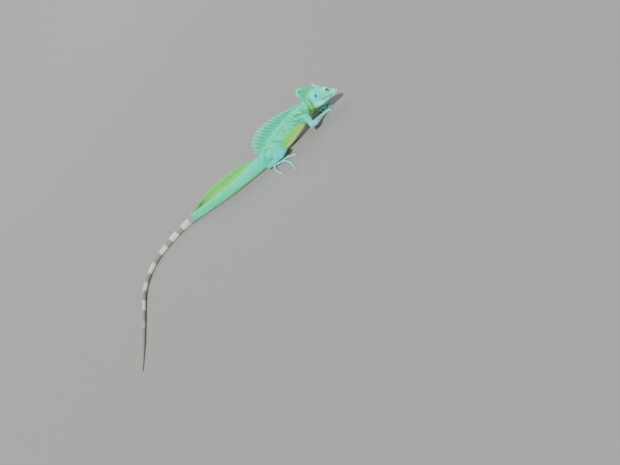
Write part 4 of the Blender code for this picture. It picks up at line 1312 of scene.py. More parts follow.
def plate_shape(square):
    """Low plate with a rim sunk in the skin, a raised shoulder and a flat crown, round or nearly square."""
    n = PLATE_SIDES
    angle = TAU * (np.arange(n) + (0.0 if square else 0.5)) / n
    flat = np.stack([np.cos(angle), np.sin(angle)], axis=1)
    if square:
        flat /= (np.sum(flat ** 4, axis=1) ** 0.25)[:, None]
    rings = [np.column_stack([flat * r, np.full(n, h)]) for r, h in ((0.54, -0.5), (0.42, 0.75))]
    points = np.vstack(rings + [[[0.0, 0.0, 1.0], [0.0, 0.0, -1.8]]])
    faces = []
    for i in range(n):
        j = (i + 1) % n
        faces += [(i, j, n + j), (i, n + j, n + i), (n + i, n + j, 2 * n), (j, i, 2 * n + 1)]
    # Crowns of the corners, low at the sunken rim, where the material paints shade.
    return points, np.array(faces), np.array([0.0] * n + [0.85] * n + [1.0, 1.0])


SHAPES = {"keeled": keeled_shape(), "plate": plate_shape(False), "shield": plate_shape(True)}


class Patch:
    """Roots of scales on one region: place, lie, outward heading, size, coordinates, place on the map, shape."""

    def __init__(self, place, lie, out, size, coords, spots, shape="keeled"):
        self.place, self.lie, self.out = place, unit(lie), out
        self.size = np.broadcast_to(np.asarray(size, float), (len(place), 3)).copy()
        self.coords, self.spots, self.shape, self.tone = coords, spots, shape, None

    def part(self, chosen):
        """The same patch with some of its roots."""
        return Patch(self.place[chosen], self.lie[chosen], self.out[chosen], self.size[chosen],
                     self.coords[chosen], self.spots[chosen], self.shape)


def along_surface(lie, out):
    """A heading laid flat on the surface."""
    return lie - np.sum(lie * out, axis=1)[:, None] * out


def chart(box, start=0.0, length=1.0):
    """Map of a stretch of one coordinate, and of a share across it, inside a box."""
    def spots(u, v):
        inner = np.stack([np.clip((u - start) / length, 0, 1), np.clip(v, 0, 1)], axis=1) * 0.97 + 0.015
        return inner * np.array(box[2:]) + np.array(box[:2])
    return spots


def spine_chart(here, share):
    """Trunk over the whole map of its piece, tail in four strips."""
    strip = np.clip((here - VENT) // STRIP, 0, 3)
    tail = chart((0.0, 0.0, 1.0, 0.25), VENT + STRIP * strip, STRIP)(here, share)
    tail[:, 1] += 0.25 * strip
    return np.where((here < VENT)[:, None], chart(WHOLE_BOX, HEAD_END, VENT - HEAD_END)(here, share), tail)


def along_rings(rings, along, turns, pitch, kind, side, spots, accept=None, shape="keeled", lift=0.13):
    """Staggered rows of scale roots round a lofted region, lying toward its end."""
    centre = rings.mean(axis=1)
    travel = distances(centre)
    found = []
    at, row = 0.3, 0
    while at < travel[-1] - 0.3:
        i = min(int(np.searchsorted(travel, at) - 1), len(rings) - 2)
        share = (at - travel[i]) / (travel[i + 1] - travel[i])
        here = along[i] + (along[i + 1] - along[i]) * share
        step, wide = pitch(here)
        ring = rings[i] + (rings[i + 1] - rings[i]) * share
        slope = rings[min(i + 2, len(rings) - 1)] - rings[max(i - 1, 0)]
        loop = np.vstack([ring, ring[:1]])
        arc = distances(loop)
        count = max(4, 2 * int(round(arc[-1] / wide / 2)))
        spot = (np.arange(count) + 0.5 * (row % 2)) * arc[-1] / count
        place, lie = read(spot, arc, loop), read(spot, arc, np.vstack([slope, slope[:1]]))
        turn = np.interp(spot, arc, np.append(turns, SPANS))
        out = np.cross(read((spot + 0.4) % arc[-1], arc, loop) - place, lie)
        out[np.sum(out * (place - centre[i]), axis=1) < 0] *= -1
        keep = np.ones(count, bool) if accept is None else accept(np.full(count, here), turn, place)
        found.append(np.column_stack([place, lie, out, stacked(count, here, turn, step, arc[-1] / count)])[keep])
        at, row = at + step, row + 1
    table = np.concatenate(found)
    here, turn, step, wide = table[:, 9:].T
    size = stacked(len(table), (1.12 if shape == "plate" else 1.45) * step, 1.08 * wide, lift * wide)
    return Patch(table[:, :3], table[:, 3:6], unit(table[:, 6:9]), size,
                 stacked(len(table), kind, here, turn, 0, 0, side), spots(here, turn / SPANS), shape)


def along_files(grid, coords, files, pitch, wide, way, spots, lift, last):
    """Files of scale roots up one face of a fin or crest, lying toward its free edge."""
    cross = np.cross(np.gradient(grid, axis=0), np.gradient(grid, axis=1))
    cross *= np.sign(np.sum(cross * way, axis=2, keepdims=True))
    found = []
    for number, file in enumerate(files):
        i = min(int(file), len(grid) - 2)
        line, facing, told = (t[i] + (t[i + 1] - t[i]) * (file - i) for t in (grid, cross, coords))
        arc = distances(line)
        spot = np.arange(0.3 + 0.5 * pitch * (number % 2), arc[-1] * last, pitch)
        lie = read(spot + 0.3, arc, line) - read(spot - 0.3, arc, line)
        found.append(np.column_stack([read(spot, arc, line), lie, read(spot, arc, facing), read(spot, arc, told),
                                      np.full(len(spot), wide[number])]))
    table = np.concatenate(found)
    out, told, width = unit(table[:, 6:9]), table[:, 9:15], table[:, 15]
    return Patch(table[:, :3] + 0.25 * out, table[:, 3:6], out,
                 stacked(len(table), 1.5 * pitch, 1.05 * width, lift * width), told, spots(told[:, 1], told[:, 3]))


class Room:
    """Cells of space that tell whether a new root has room beside those already laid."""

    CELL = 1.3

    def __init__(self):
        self.cells = {}

    def take(self, place, distance):
        """Take a place unless another root is nearer than the distance."""
        x, y, z = place
        i, j, k = int(x // self.CELL), int(y // self.CELL), int(z // self.CELL)
        for a in (i - 1, i, i + 1):
            for b in (j - 1, j, j + 1):
                for c in (k - 1, k, k + 1):
                    for u, v, w in self.cells.get((a, b, c), ()):
                        if (u - x) ** 2 + (v - y) ** 2 + (w - z) ** 2 < distance * distance:
                            return False
        self.cells.setdefault((i, j, k), []).append((x, y, z))
        return True


class Coat:
    """Scales of every region, laid on the skin without doubling."""

    # Height over the skin at which roots are kept apart
    ABOVE = 0.8
    # Least agreement of a root's outward heading with the skin's, and greatest upward share underneath
    AGREE, UNDER = 0.25, -0.5
    # Millimetres of skin across a whole map
    MAP_REACH = 130.0

    def __init__(self, surface, lift):
        self.surface, self.lift = surface, lift
        self.tree = BVHTree.FromPolygons(surface.points.tolist(), surface.faces.tolist())
        self.normals = surface.normals()
        self.draw = np.random.default_rng(11)
        self.room = Room()
        self.pieces = {}

    def facing(self, faces):
        return unit(self.normals[self.surface.faces[faces]].sum(axis=1))

    def lay(self, piece, patch, reach, apart=0.62):
        """Set the roots of a patch on the skin and keep those that have room."""
        near = [self.tree.find_nearest(Vector(p)) for p in patch.place]
        spot, gap = np.array([n[0] for n in near]), np.array([n[3] for n in near])
        out = self.facing([n[2] for n in near])
        keep = (gap < reach) & (np.sum(out * patch.out, axis=1) > self.AGREE)
        keep &= ~((spot[:, 2] < 0.3) & (out[:, 2] < self.UNDER))
        asked = zip(keep, (spot + self.ABOVE * out).tolist(), (apart * patch.size[:, 1]).tolist())
        keep = np.array([ok and self.room.take(place, distance) for ok, place, distance in asked], bool)
        patch = patch.part(keep)
        patch.place, patch.out = spot[keep], out[keep]
        patch.lie = unit(along_surface(patch.lie, patch.out))
        count = len(patch.place)
        patch.size *= self.draw.uniform(0.92, 1.08, (count, 1)) * stacked(
            count, 1, 1, self.lift * self.draw.uniform(0.75, 1.25, count))
        swing = self.draw.normal(0.0, 0.07, count)[:, None]
        patch.lie = patch.lie * np.cos(swing) + np.cross(patch.out, patch.lie) * np.sin(swing)
        patch.tone = self.draw.uniform(0.0, 1.0, count)
        self.pieces.setdefault(piece, []).append(patch)

    def bare(self):
        """Points of the skin that should carry scales: not in holes, on lip edges, on fin edges or underneath."""
        kind, rise = self.surface.coords[:, [0, 3]].T
        p, local = self.surface.points, in_head(self.surface.points)
        under = (p[:, 2] < 0.4) & (self.normals[:, 2] < self.UNDER)
        bare = ~np.isin(kind, (SOCKET, PIT)) & (rise < 0.95) & ~under
        lip = shaped(MOUTH, np.clip(local[:, 0], 0, HEAD_END))[:, 0]
        bare &= ~((local[:, 0] < 37) & (np.abs(local[:, 2] - lip) < 1.1) & (kind == SPINE))
        for centre, radii, inside in ((EYE, LID_OPENING, 1.12), (EAR, EAR_RADII, 1.1), (NOSTRIL, NOSTRIL_RIM, 1.5)):
            bare &= ~((side_gap(local, centre, radii) < inside) & (np.abs(local[:, 1]) > 2.0))
        return np.flatnonzero(bare)

    def fill(self):
        """Add roots like their nearest neighbours wherever the rows left the skin bare."""
        known = [(piece, patch) for piece, laid in self.pieces.items() for patch in laid]
        owner = np.concatenate([np.full(len(patch.place), i) for i, (_, patch) in enumerate(known)])
        inner = np.concatenate([np.arange(len(patch.place)) for _, patch in known])
        tree = search_tree(np.concatenate([patch.place for _, patch in known]))
        p, out, added = self.surface.points, self.normals, {}
        for i in self.draw.permutation(self.bare()):
            _, near, gap = tree.find(p[i])
            width = known[owner[near]][1].size[inner[near], 1]
            if 0.8 * width < gap < 8.0 and self.room.take((p[i] + self.ABOVE * out[i]).tolist(), 0.82 * width):
                added.setdefault(owner[near], []).append((i, inner[near]))
        for number, pairs in added.items():
            piece, patch = known[number]
            spot, twin = np.array(pairs).T
            lie, away = patch.lie[twin], p[spot] - patch.place[twin]
            shift = np.stack([np.sum(away * heading, axis=1) for heading in (lie, np.cross(patch.out[twin], lie))],
                             axis=1) / self.MAP_REACH
            new = Patch(p[spot], along_surface(lie, out[spot]), out[spot], patch.size[twin],
                        self.surface.coords[spot], np.clip(patch.spots[twin] + shift, 0.004, 0.996), patch.shape)
            new.tone = self.draw.uniform(0.0, 1.0, len(spot))
            self.pieces[piece].append(new)

    def build(self, piece, material):
        """One joined mesh of a piece's scales, with its map for baking."""
        points, faces, maps, base = [], [], [], 0
        values = {name: [] for name in (*MARKS, "tone", "crown")}
        for patch in self.pieces[piece]:
            shape, shape_faces, crown = SHAPES[patch.shape]
            axes = np.stack([patch.lie, np.cross(patch.out, patch.lie), patch.out], axis=1)
            p = above_floor(patch.place[:, None] + (shape * patch.size[:, None]) @ axes)
            count, corners = p.shape[:2]
            points.append(p.reshape(-1, 3))
            start = base + np.arange(count) * corners
            faces.append((start[:, None, None] + shape_faces).reshape(-1, 3))
            maps.append((patch.spots[:, None] + SPOT * shape[:, :2]).reshape(-1, 2))
            kind = patch.coords[:, 0]
            shade = fold_shade(creases(patch.place, kind), fold_depth(patch.place, kind)[0])
            for name, value in {**marks(patch.place, patch.coords, shade), "tone": patch.tone}.items():
                values[name].append(np.repeat(value, corners))
            values["crown"].append(np.tile(crown, count))
            base += count * corners
        obj = mesh_object(piece, np.concatenate(points), np.concatenate(faces).tolist(),
                          {name: np.concatenate(value) for name, value in values.items()}, material)
        layer = obj.data.uv_layers.new(name="OFBake")
        corner = np.empty(len(obj.data.loops), int)
        obj.data.loops.foreach_get("vertex_index", corner)
        layer.data.foreach_set("uv", np.concatenate(maps)[corner].ravel())
        return obj


def on_head(here, turn, place):
    """Where the head carries small plates: not on the lips, the lids, the ear or the nostril."""
    side, local = np.minimum(turn, SPANS - turn), in_head(place)
    off = np.abs(local[:, 1])
    lips = (here < 36) & (side > 7.1) & (side < 11.2)
    lids = (side_gap(local, EYE) < 6.6) & (off > 8.6)
    pits = ((side_gap(local, EAR, EAR_RADII) < 1.1) | (side_gap(local, NOSTRIL) < 1.15)) & (off > 2)
    return ~lips & ~lids & ~pits & (here > 0.3)


def plate_rows():
    """Squarer plates along the lips and above the eyes."""
    found = []
    for turn, first, last, length, width in PLATE_ROWS:
        distance = np.arange(first, last, length)
        for spot in (turn, SPANS - turn):
            front, place, back = (head_rings(distance + shift, np.array([spot]), 0.0)[:, 0]
                                  for shift in (-0.6, 0.0, 0.6))
            found.append(np.column_stack([place, back - front, stacked(len(place), distance, spot, length, width)]))
    table = np.concatenate(found)
    place, (distance, turn, length, width) = table[:, :3], table[:, 6:].T
    out = unit(place - in_world(stacked(len(place), -distance, 0, in_head(place)[:, 2])))
    return Patch(place, table[:, 3:6], out, stacked(len(place), length, width, 0.15),
                 stacked(len(place), SPINE, distance, turn, 0, 0, 0),
                 chart(HEAD_BOX, 0.0, HEAD_END)(distance, turn / SPANS), "shield")


def spine_scales(coat):
    """Rows round head, neck, trunk and tail, with plates along the lips and broader ones underneath."""
    rings, along, at = spine_rings(*SCALE_STEPS, 0.0)
    head, rest = along < HEAD_END + 1.0, along > HEAD_END - 1.5

    def rows(part, pitch, spots, accept, shape, lift):
        return along_rings(rings[part], along[part], at, pitch, SPINE, 0, spots, accept, shape, lift)

    coat.lay("scales_head", plate_rows(), 1.6)
    coat.lay("scales_head", rows(
        head, lambda here: (1.25 + 0.25 * bump_at(here, 12, 9), 1.35 + 0.3 * bump_at(here, 14, 9)),
        chart(HEAD_BOX, 0.0, HEAD_END), on_head, "plate", 0.09), 1.6)
    small = rows(rest, lambda here: read(here - VENT, PITCHES[:, 0], PITCHES[:, 1:]), spine_chart,
                 lambda here, turn, place: (level_of(turn) < 0.77) | (here > VENT - 6), "keeled", 0.13)
    here = small.coords[:, 1]
    small.size[:, 2] *= 1 + 0.35 * smooth_step(VENT - 10, VENT + 40, here)
    coat.lay("scales_trunk", small.part(here < VENT), 3.0)
    coat.lay("scales_tail", small.part(here >= VENT), 1.6)
    coat.lay("scales_trunk", rows(
        rest, lambda here: (1.7, 1.9), spine_chart,
        lambda here, turn, place: (level_of(turn) >= 0.75) & (here <= VENT - 4), "plate", 0.07), 2.4)


def limb_scales(coat):
    """Rows down every limb and digit, and the fringe on both sides of the three outer hind toes."""
    def rows(tube, part, code, step, wide, box, lift=0.13):
        sides = tube.shape[1]
        return along_rings(tube, np.linspace(0, 1, len(tube)), np.arange(sides) * SPANS / sides,
                           lambda here: (step, wide), part, code, chart(box), lift=lift)

    lengths = [(row, part, code) for three, _, _, code in limbs() for row, part in zip(three, (UPPER, LOWER, END))]
    for cell, (row, part, code) in enumerate(lengths):
        size = 0.82 if part == END else 1.0
        box = (0.25 * (cell % 4), 0.2 * (cell // 4), 0.25, 0.2)
        coat.lay("scales_limbs", rows(tube_rings(row, 48, 60), part, code, 1.15 * size, 1.3 * size, box),
                 2.6 if part == UPPER else 1.6, 0.7)
    toes = [(row, kind, code) for _, digits, kind, code in limbs() for row in digits]
    for cell, (row, kind, code) in enumerate(toes):
        line, _, length = digit_line(row, kind)
        tube = tube_rings(line, 24, int(length), round_start=False, round_end=False)
        box = (0.1 * (cell % 10), 0.61 + 0.1 * (cell // 10), 0.1, 0.1)
        coat.lay("scales_limbs", rows(tube, DIGIT, code, 1.05, 1.25, box, 0.085), 0.9)
    fringed = [(number, row, code) for _, digits, kind, code in limbs() if kind == "foot"
               for number, row in enumerate(digits[2:])]
    for number, row, code in fringed:
        line, _, length = digit_line(row, "foot")
        centre = flowing(line, int(length / 1.05))[2:-1]
        ahead, travel = unit(np.gradient(centre[:, :3], axis=0)), np.linspace(0, 1, len(centre))
        for edge in (1, -1):
            across = np.cross(ahead, (0, 0, 1.0)) * edge
            place = centre[:, :3] + across * centre[:, 3:4] * 0.95 - np.array([0, 0, 0.25])
            box = (0.0, 0.82 + 0.0145 * (4 * number + 2 * (edge > 0) + (code > 0)), 1.0, 0.014)
            coat.lay("scales_limbs", Patch(
                place, across + 0.55 * ahead, unit(np.array([0.0, 0.0, 1.0]) + 0.9 * across), (1.15, 1.1, 0.16),
                stacked(len(place), DIGIT, travel, 0, 0, 0, code), chart(box)(travel, 0 * travel + 0.5)), 1.2, 0.3)


def face_grids(region, columns):
    """Both faces of a sheet as grids by column and row, and the coordinates that they share."""
    half = len(region.points) // 2
    return region.points.reshape(2, columns, -1, 3), region.coords[:half].reshape(columns, -1, 6)


def fin_scales(coat):
    """Files up both faces of the fins and the crests of the head, and a row along each crest's edge."""
    for number, (kind, spaces) in enumerate(((BACK, 5), (REAR, 7))):
        rows, rays, _ = FINS[kind]
        places = fin_columns(rays)[0]
        grids, coords = face_grids(fin(kind), len(places))
        targets = np.arange(0.0, rays - 1 + 1e-6, 1.0 / spaces)
        files = np.interp(targets, places, np.arange(len(places)))
        first, last = sorted((rows[0][0], rows[-1][0]))
        wide = np.where(np.abs(targets - np.round(targets)) < 1e-6, 1.25, 1.0) * (last - first) / (rays - 1) / spaces
        for face, way in ((0, 1), (1, -1)):
            spots = chart((0.5 * number, 0.5 * face, 0.5, 0.5), first, last - first)
            coat.lay("scales_fins", along_files(grids[face], coords, files, 1.3, wide, (0, way, 0), spots,
                                                0.1, 0.955), 1.1)
    for kind, (*_, (columns, rows)) in CRESTS.items():
        grids, coords = face_grids(crest(kind), columns)
        files = np.linspace(0.8, columns - 1.8, int(distances(grids[0][:, -6])[-1] / 1.15))
        for face, way in ((0, 1), (1, -1)):
            spots = chart(CREST_BOXES[kind][face])
            coat.lay("scales_head", along_files(grids[face], coords, files, 1.05, np.full(len(files), 1.1),
                                                head_turn()[:, 1] * way, spots, 0.09, 0.95), 0.9)
        rim, middle = grids[:, :, -1].mean(axis=0), grids[:, :, rows // 2].mean(axis=0)
        arc = distances(rim)
        place, inner, lie, told = (read(np.arange(0.4, arc[-1], 0.95), arc, table)
                                   for table in (rim, middle, np.gradient(rim, axis=0), coords[:, -1]))
        coat.lay("scales_head", Patch(place, lie, unit(place - inner), (1.4, 1.35, 0.16), told,
                                      spots(told[:, 1], told[:, 3])), 0.9, 0.4)


def lid_ring(coat, way, ring, place, out, angle, width, reach):
    """Lay one ring of scales round an eye."""
    lie = stacked(len(angle), np.cos(angle), 0, np.sin(angle)) @ head_turn().T
    spots = chart(LID_BOXES[way])(angle / TAU, 0 * angle + ring / 14)
    coords = stacked(len(angle), LID, ring / 14, 0, 0, 0, 0)
    coat.lay("scales_head", Patch(place, lie, out, (1.1 * width, 1.1 * width, 0.09), coords, spots, "plate"),
             reach, 0.55)


def ring_angles(girth, width, ring):
    """Angles of the scales in a ring, staggered from ring to ring."""
    count = int(girth / width)
    return TAU * (np.arange(count) + 0.5 * (ring % 2)) / count


def lid_scales(coat):
    """Rings of small scales round the eye opening and over the dome of the lids."""
    turned = head_turn()
    for way in (1, -1):
        heading = Vector(turned @ np.array([0.0, -way, 0.0]))
        for ring in range(6):
            width = 0.6 + 0.06 * ring
            a, c = np.array(LID_OPENING) + (0.36 + 0.56 * ring + 0.03 * ring ** 2)
            angle = ring_angles(math.pi * (a + c), width, ring)
            start = in_world(stacked(len(angle), a * np.cos(angle) - EYE[0], way * 30.0, c * np.sin(angle) + EYE[2]))
            hits = [coat.tree.ray_cast(Vector(q), heading) for q in start]
            found = np.array([h[0] is not None and h[3] < 27.0 for h in hits])
            hits = [h for h, ok in zip(hits, found) if ok]
            lid_ring(coat, way, ring, np.array([h[0] for h in hits]), coat.facing([h[2] for h in hits]),
                     angle[found], width, 0.5)
        for ring, polar in enumerate(np.radians(np.arange(62.0, 128.0, 9.0))):
            angle = ring_angles(TAU * LID_RADIUS * math.sin(polar), 0.88, ring)
            out = stacked(len(angle), math.sin(polar) * np.cos(angle), way * math.cos(polar),
                          math.sin(polar) * np.sin(angle))
            lid_ring(coat, way, 6 + ring, in_world(LID_RADIUS * out + on_side(EYE, way)), out @ turned.T,
                     angle, 0.86, 0.75)


# The skin's surface and material, for the scales that are laid on it
SKIN = {}


def make_skin(sizes, colours):
    """One skin over head, neck, trunk, tail, limbs, fins and crests."""
    regions = body_regions(sizes.coat_depth / MM)
    cuts = cut_regions(EYE_RADIUS * sizes.eye_size)
    joined = in_metres(regions[0], "joined")
    combine(joined, [in_metres(region, "piece") for region in regions[1:]], "UNION")
    combine(joined, [in_metres(region, "cut") for region in cuts], "DIFFERENCE")
    mesh = joined.data
    surface = Surface(mesh, regions + cuts)
    bpy.data.objects.remove(joined)
    bpy.data.meshes.remove(mesh)
    surface.round_joins()
    shade = relief(surface, sizes.folding)
    painted = {name: surface.spread(value, 3)
               for name, value in marks(surface.points, surface.coords, shade).items()}
    # The bare skin gets a low crown, so the material paints it darker as the shade between the scales.
    painted["tone"], painted["crown"] = (np.full(len(surface.points), value) for value in (0.5, 0.25))
    SKIN["surface"], SKIN["material"] = surface, skin_material(colours)
    return mesh_object("skin", surface.points, surface.faces.tolist(), painted, SKIN["material"])


def make_eye(side, way, radius, material):
    """Eyeball with a raised cornea, its pole along the gaze, and a finely streaked iris."""
    gaze = Vector((0.12, way, 0.10)).normalized()
    turn = np.array(Vector((0, 0, 1)).rotation_difference(gaze).to_matrix())
    polar = np.linspace(0, math.pi, 65)[1:-1][:, None]
    angle = TAU * np.arange(96) / 96
    bulge = radius - EYE_PLAY + CORNEA * bump_at(polar, 0.0, 0.42)
    rings = np.stack([bulge * np.sin(polar) * np.cos(angle), bulge * np.sin(polar) * np.sin(angle),
                      bulge * np.cos(polar) + 0 * angle], axis=2)
    globe = loft(rings, LID, start=(0, 0, radius - EYE_PLAY + CORNEA), end=(0, 0, EYE_PLAY - radius))
    waves = sum(np.sin(n * angle + 2.3 * n + 2.0 * np.sin(5.0 * polar + n)) for n in (7, 11, 17, 23, 31))
    values = {"polar": np.append(np.repeat(polar / math.pi * 2, len(angle)), [0.0, 2.0]),
              "streak": np.clip(np.append(0.5 + 0.22 * waves, [0.5, 0.5]), 0, 1)}
    return mesh_object("eyeball_" + side, in_world(globe.points @ turn.T + on_side(EYE, way)),
                       triangles(globe.faces), values, material)


def triangles(faces):
    """The same faces with their quads cut in two."""
    halves = [[face] if len(face) == 3 else [face[:3], (face[0], face[2], face[3])] for face in faces]
    return sum(halves, [])


def make_claws(kind, side, material):
    """Curved claws of one hand or foot."""
    points, faces, reach, base = [], [], [], 0
    for row in SIDES[side][1][kind]:
        _, claw, _ = digit_line(row, kind)
        rings = tube_rings(claw, 14, 26, round_start=False, round_end=False)
        region = loft(rings, DIGIT, np.linspace(0, 1, len(rings)), end=claw[-1][:3])
        points.append(region.points)
        faces += [tuple(base + corner for corner in face) for face in triangles(region.faces)]
        reach.append(region.coords[:, 1])
        base += len(region.points)
    return mesh_object(f"claws_{kind}_{side}", np.concatenate(points), faces,
                       {"reach": np.concatenate(reach)}, material)


def basis(heading, up):
    """Axes across, up and along a heading, as columns."""
    across = unit(np.cross(up, heading))
    return np.stack([across, np.cross(heading, across), heading], axis=1)


def camera_matrix(lens):
    """Camera that keeps the photo's framing, rolled because the trunk of the photo became a level floor."""
    focal = lens / SENSOR * PICTURE[0]
    seen = np.array([(AIM_SHOWN[0] - PICTURE[0] / 2) / focal, (PICTURE[1] / 2 - AIM_SHOWN[1]) / focal, -1.0])
    target = np.array(AIM) * MM
    out = np.array([0.0, -math.cos(ELEVATION), math.sin(ELEVATION)])
    place = target + out * focal * PIXEL * MM * np.linalg.norm(seen)
    scene_basis, lens_basis = basis(-out, (0, 0, 1.0)), basis(unit(seen), (0, 1.0, 0))

    def turned(roll):
        c, s = math.cos(roll), math.sin(roll)
        return scene_basis @ np.array([[c, -s, 0], [s, c, 0], [0, 0, 1]]) @ lens_basis.T

    def slope(roll):
        near, far = (turned(roll).T @ (point - place) for point in (target, target + np.array([0.01, 0, 0])))
        across, up = far[:2] / -far[2] - near[:2] / -near[2]
        return math.degrees(math.atan2(up, across))

    rolls = np.radians(np.linspace(-180, 180, 7201))
    roll = min(rolls, key=lambda turn: abs((slope(turn) - SLOPE + 180) % 360 - 180))
    matrix = Matrix(turned(roll).tolist()).to_4x4()
    matrix.translation = Vector(place.tolist())
    return matrix


def make_stage(sizes, colours):
    """Floor that curves up all round, soft lights and the camera."""
    radii = np.concatenate([np.linspace(0.05, 1.4, 10), np.linspace(1.55, 4.6, 22)])[:, None] / MM
    angle = TAU * np.arange(FLOOR_SIDES) / FLOOR_SIDES
    height = 1500.0 * smooth_step(1300.0, 5600.0, radii) ** 1.3
    rings = np.stack([radii * np.cos(angle), radii * np.sin(angle), height + 0 * angle], axis=2)
    points = np.concatenate([rings.reshape(-1, 3), [[0, 0, 0]]])
    faces = ring_faces(*rings.shape[:2])
    faces += [((k + 1) % FLOOR_SIDES, k, len(points) - 1) for k in range(FLOOR_SIDES)]
    floor = mesh_object("studio_floor", points, faces, {}, floor_material(colours))
    for name, (heading, strength, softness) in LIGHTS.items():
        light = bpy.data.lights.new(name, "SUN")
        light.energy, light.angle = strength * sizes.light, math.radians(softness)
        lamp = linked(name, light)
        lamp.location = heading
        lamp.rotation_euler = Vector(heading).to_track_quat("Z", "Y").to_euler()
    world = bpy.data.worlds.new("studio")
    world.use_nodes = True
    sky = world.node_tree.nodes["Background"].inputs
    sky["Color"].default_value, sky["Strength"].default_value = SKY, SKY_STRENGTH * sizes.light
    bpy.context.scene.world = world
    lens = bpy.data.cameras.new("camera")
    lens.lens, lens.sensor_width, lens.clip_start = sizes.lens, SENSOR, 0.01
    camera = linked("camera", lens)
    camera.matrix_world = camera_matrix(sizes.lens)
    bpy.context.scene.camera = camera


FLESH = ("torso", "neck", "head", "head_crest", "brow_crest", "dorsal_crest", "tail_crest",
         *(f"tail_{number}" for number in range(1, 6)),
         *(f"{part}_{side}" for side in ("left", "right") for part in RIGHT))


def settle(obj, nodes=()):
    """Ride on the one body and stand for the nodes it covers."""
    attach(obj, "root")
    if nodes:
        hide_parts(*nodes)


def factor(label, text, high):
    return FloatProperty(name=label, description=text, default=1.0, min=0.0, max=high, subtype="FACTOR")


def colour_property(label, text, default):
    return FloatVectorProperty(name=label, description=text, default=default, size=3, min=0.0, max=1.0,
                               subtype="COLOR")


class BasiliskSizes(PropertyGroup):
    coat_depth: FloatProperty(name="Coat depth", description="How far the skin lies inside the solids",
                              default=0.0002, min=0.0, max=0.001, subtype="DISTANCE", unit="LENGTH")
    scale_lift: factor("Scale height", "How high the scales stand, against life", 2.0)
    folding: factor("Folds", "Depth of the skin's folds and of the ribs below the fin, against life", 2.0)
    eye_size: factor("Eye size", "Radius of the eyeballs, against life", 1.1)
    light: factor("Light", "Strength of all lights, against the studio's", 4.0)
    lens: FloatProperty(name="Lens", description="Focal length; the camera moves so that the animal stays as large",
                        default=28.0, min=10.0, max=200.0, subtype="DISTANCE_CAMERA", unit="CAMERA")


class BasiliskColours(PropertyGroup):
    body: colour_property("Body", "Mint of the trunk", (0.012, 0.86, 0.53))
    body_light: colour_property("Body light", "Lighter mottling of the trunk", (0.02, 0.99, 0.72))
    flank: colour_property("Flank", "Deeper green of the trunk's broad patches", (0.008, 0.70, 0.42))
    blue: colour_property("Blue", "Cyan of cheek, shin and feet", (0.0, 0.66, 0.72))
    green: colour_property("Green", "Green between the rays and on the crest", (0.01, 0.56, 0.14))
    lime: colour_property("Lime", "Yellow green of belly, lip and tail fin", (0.19, 0.86, 0.07))
    # On the belly's lower edge gold is partly its own yellow and partly a painted highlight; on the lids it is their
    # own yellow.
    gold: colour_property("Gold", "Yellow rim of the belly and the lids", (0.72, 1.0, 0.28))
    # Brown is painted shade with a painted brown reflection under the jaw, on the throat, underneath the trunk and
    # tail and in the ear pit; on the tail fin's rear it is the fin's own colour.
    brown: colour_property("Brown", "Olive brown of the throat and the tail fin's rear", (0.11, 0.11, 0.02))
    ash: colour_property("Ash", "Grey brown of the long tail", (0.38, 0.28, 0.24))
    bone: colour_property("Bone", "Light bands of the long tail", (0.80, 0.90, 0.80))
    pale: colour_property("Pale", "Near white of ray tips, jaw, forearm and toes", (0.42, 0.98, 0.92))
    # Dark is painted shade in folds, creases, the nostrils, the ear pits, the eye sockets and the lid openings, and
    # partly in the mouth line; on the crests and fins it is their own dark patches, spot and streaks.
    dark: colour_property("Dark", "Depth of folds and pits", (0.004, 0.11, 0.08))
    claw: colour_property("Claw", "Root of the claws", (0.10, 0.07, 0.05))
    claw_tip: colour_property("Claw tip", "Tip of the claws", (0.30, 0.24, 0.18))
    iris: colour_property("Iris", "Gold of the eye", (0.34, 0.20, 0.015))
    iris_ring: colour_property("Iris ring", "Bright ring round the pupil", (0.62, 0.45, 0.07))
    iris_rim: colour_property("Iris rim", "Dark outer ring of the eye", (0.06, 0.03, 0.005))
    pupil: colour_property("Pupil", "Pupil and inner lid edge", (0.004, 0.004, 0.004))
    floor: colour_property("Floor", "Studio floor", (0.25, 0.245, 0.24))


class BASILISK_OT_skin(Operator):
    """Build the skin of the whole animal"""
    bl_idname = "basilisk.skin"
    bl_label = "Skin"

    def execute(self, context):
        skin = make_skin(context.scene.basilisk_sizes, context.scene.basilisk_colours)
        settle(skin, FLESH)
        return {"FINISHED"}


class BASILISK_OT_scales(Operator):
    """Lay the scales on the skin"""
    bl_idname = "basilisk.scales"
    bl_label = "Scales"

    def execute(self, context):
        coat = Coat(SKIN["surface"], context.scene.basilisk_sizes.scale_lift)
        lid_scales(coat)
        fin_scales(coat)
        spine_scales(coat)
        limb_scales(coat)
        coat.fill()
        for piece, slot in (("scales_head", "head_skin"), ("scales_trunk", "body_skin"), ("scales_tail", "tail_skin"),
                            ("scales_limbs", "body_skin"), ("scales_fins", "fin_skin")):
            settle(coat.build(piece, SKIN["material"]))
        return {"FINISHED"}


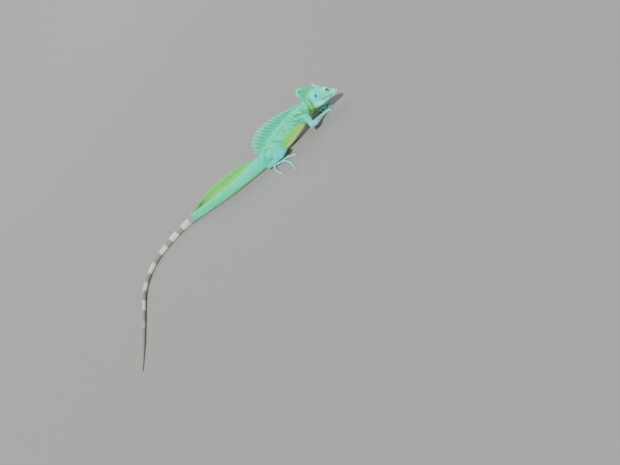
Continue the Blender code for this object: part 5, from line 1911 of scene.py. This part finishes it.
class BASILISK_OT_eyes(Operator):
    """Build both eyes"""
    bl_idname = "basilisk.eyes"
    bl_label = "Eyes"

    def execute(self, context):
        material = eye_material(context.scene.basilisk_colours)
        radius = EYE_RADIUS * context.scene.basilisk_sizes.eye_size
        for side, way in (("left", 1), ("right", -1)):
            settle(make_eye(side, way, radius, material), ("eye_" + side,))
        return {"FINISHED"}


class BASILISK_OT_claws(Operator):
    """Build the claws of hands and feet"""
    bl_idname = "basilisk.claws"
    bl_label = "Claws"

    def execute(self, context):
        material = claw_material(context.scene.basilisk_colours)
        for kind in ("hand", "foot"):
            for side in SIDES:
                settle(make_claws(kind, side, material))
        return {"FINISHED"}


class BASILISK_OT_stage(Operator):
    """Build floor, lights and camera"""
    bl_idname = "basilisk.stage"
    bl_label = "Stage"

    def execute(self, context):
        make_stage(context.scene.basilisk_sizes, context.scene.basilisk_colours)
        return {"FINISHED"}


class BASILISK_PT_panel(Panel):
    """Steps that build the basilisk"""
    bl_idname = "BASILISK_PT_panel"
    bl_label = "Green basilisk"
    bl_space_type = "VIEW_3D"
    bl_region_type = "UI"
    bl_category = "Basilisk"

    def draw(self, context):
        for step in STEPS:
            self.layout.operator(step.bl_idname)
        for group in (context.scene.basilisk_sizes, context.scene.basilisk_colours):
            for name in group.__annotations__:
                self.layout.prop(group, name)


STEPS = (BASILISK_OT_skin, BASILISK_OT_scales, BASILISK_OT_eyes, BASILISK_OT_claws, BASILISK_OT_stage)
CLASSES = (BasiliskSizes, BasiliskColours, *STEPS, BASILISK_PT_panel)


def register():
    for cls in CLASSES:
        bpy.utils.register_class(cls)
    bpy.types.Scene.basilisk_sizes = PointerProperty(type=BasiliskSizes)
    bpy.types.Scene.basilisk_colours = PointerProperty(type=BasiliskColours)


def unregister():
    del bpy.types.Scene.basilisk_colours
    del bpy.types.Scene.basilisk_sizes
    for cls in reversed(CLASSES):
        bpy.utils.unregister_class(cls)


def main():
    register()
    bpy.ops.basilisk.skin()
    bpy.ops.basilisk.scales()
    bpy.ops.basilisk.eyes()
    bpy.ops.basilisk.claws()
    bpy.ops.basilisk.stage()


if __name__ == "__main__":
    main()
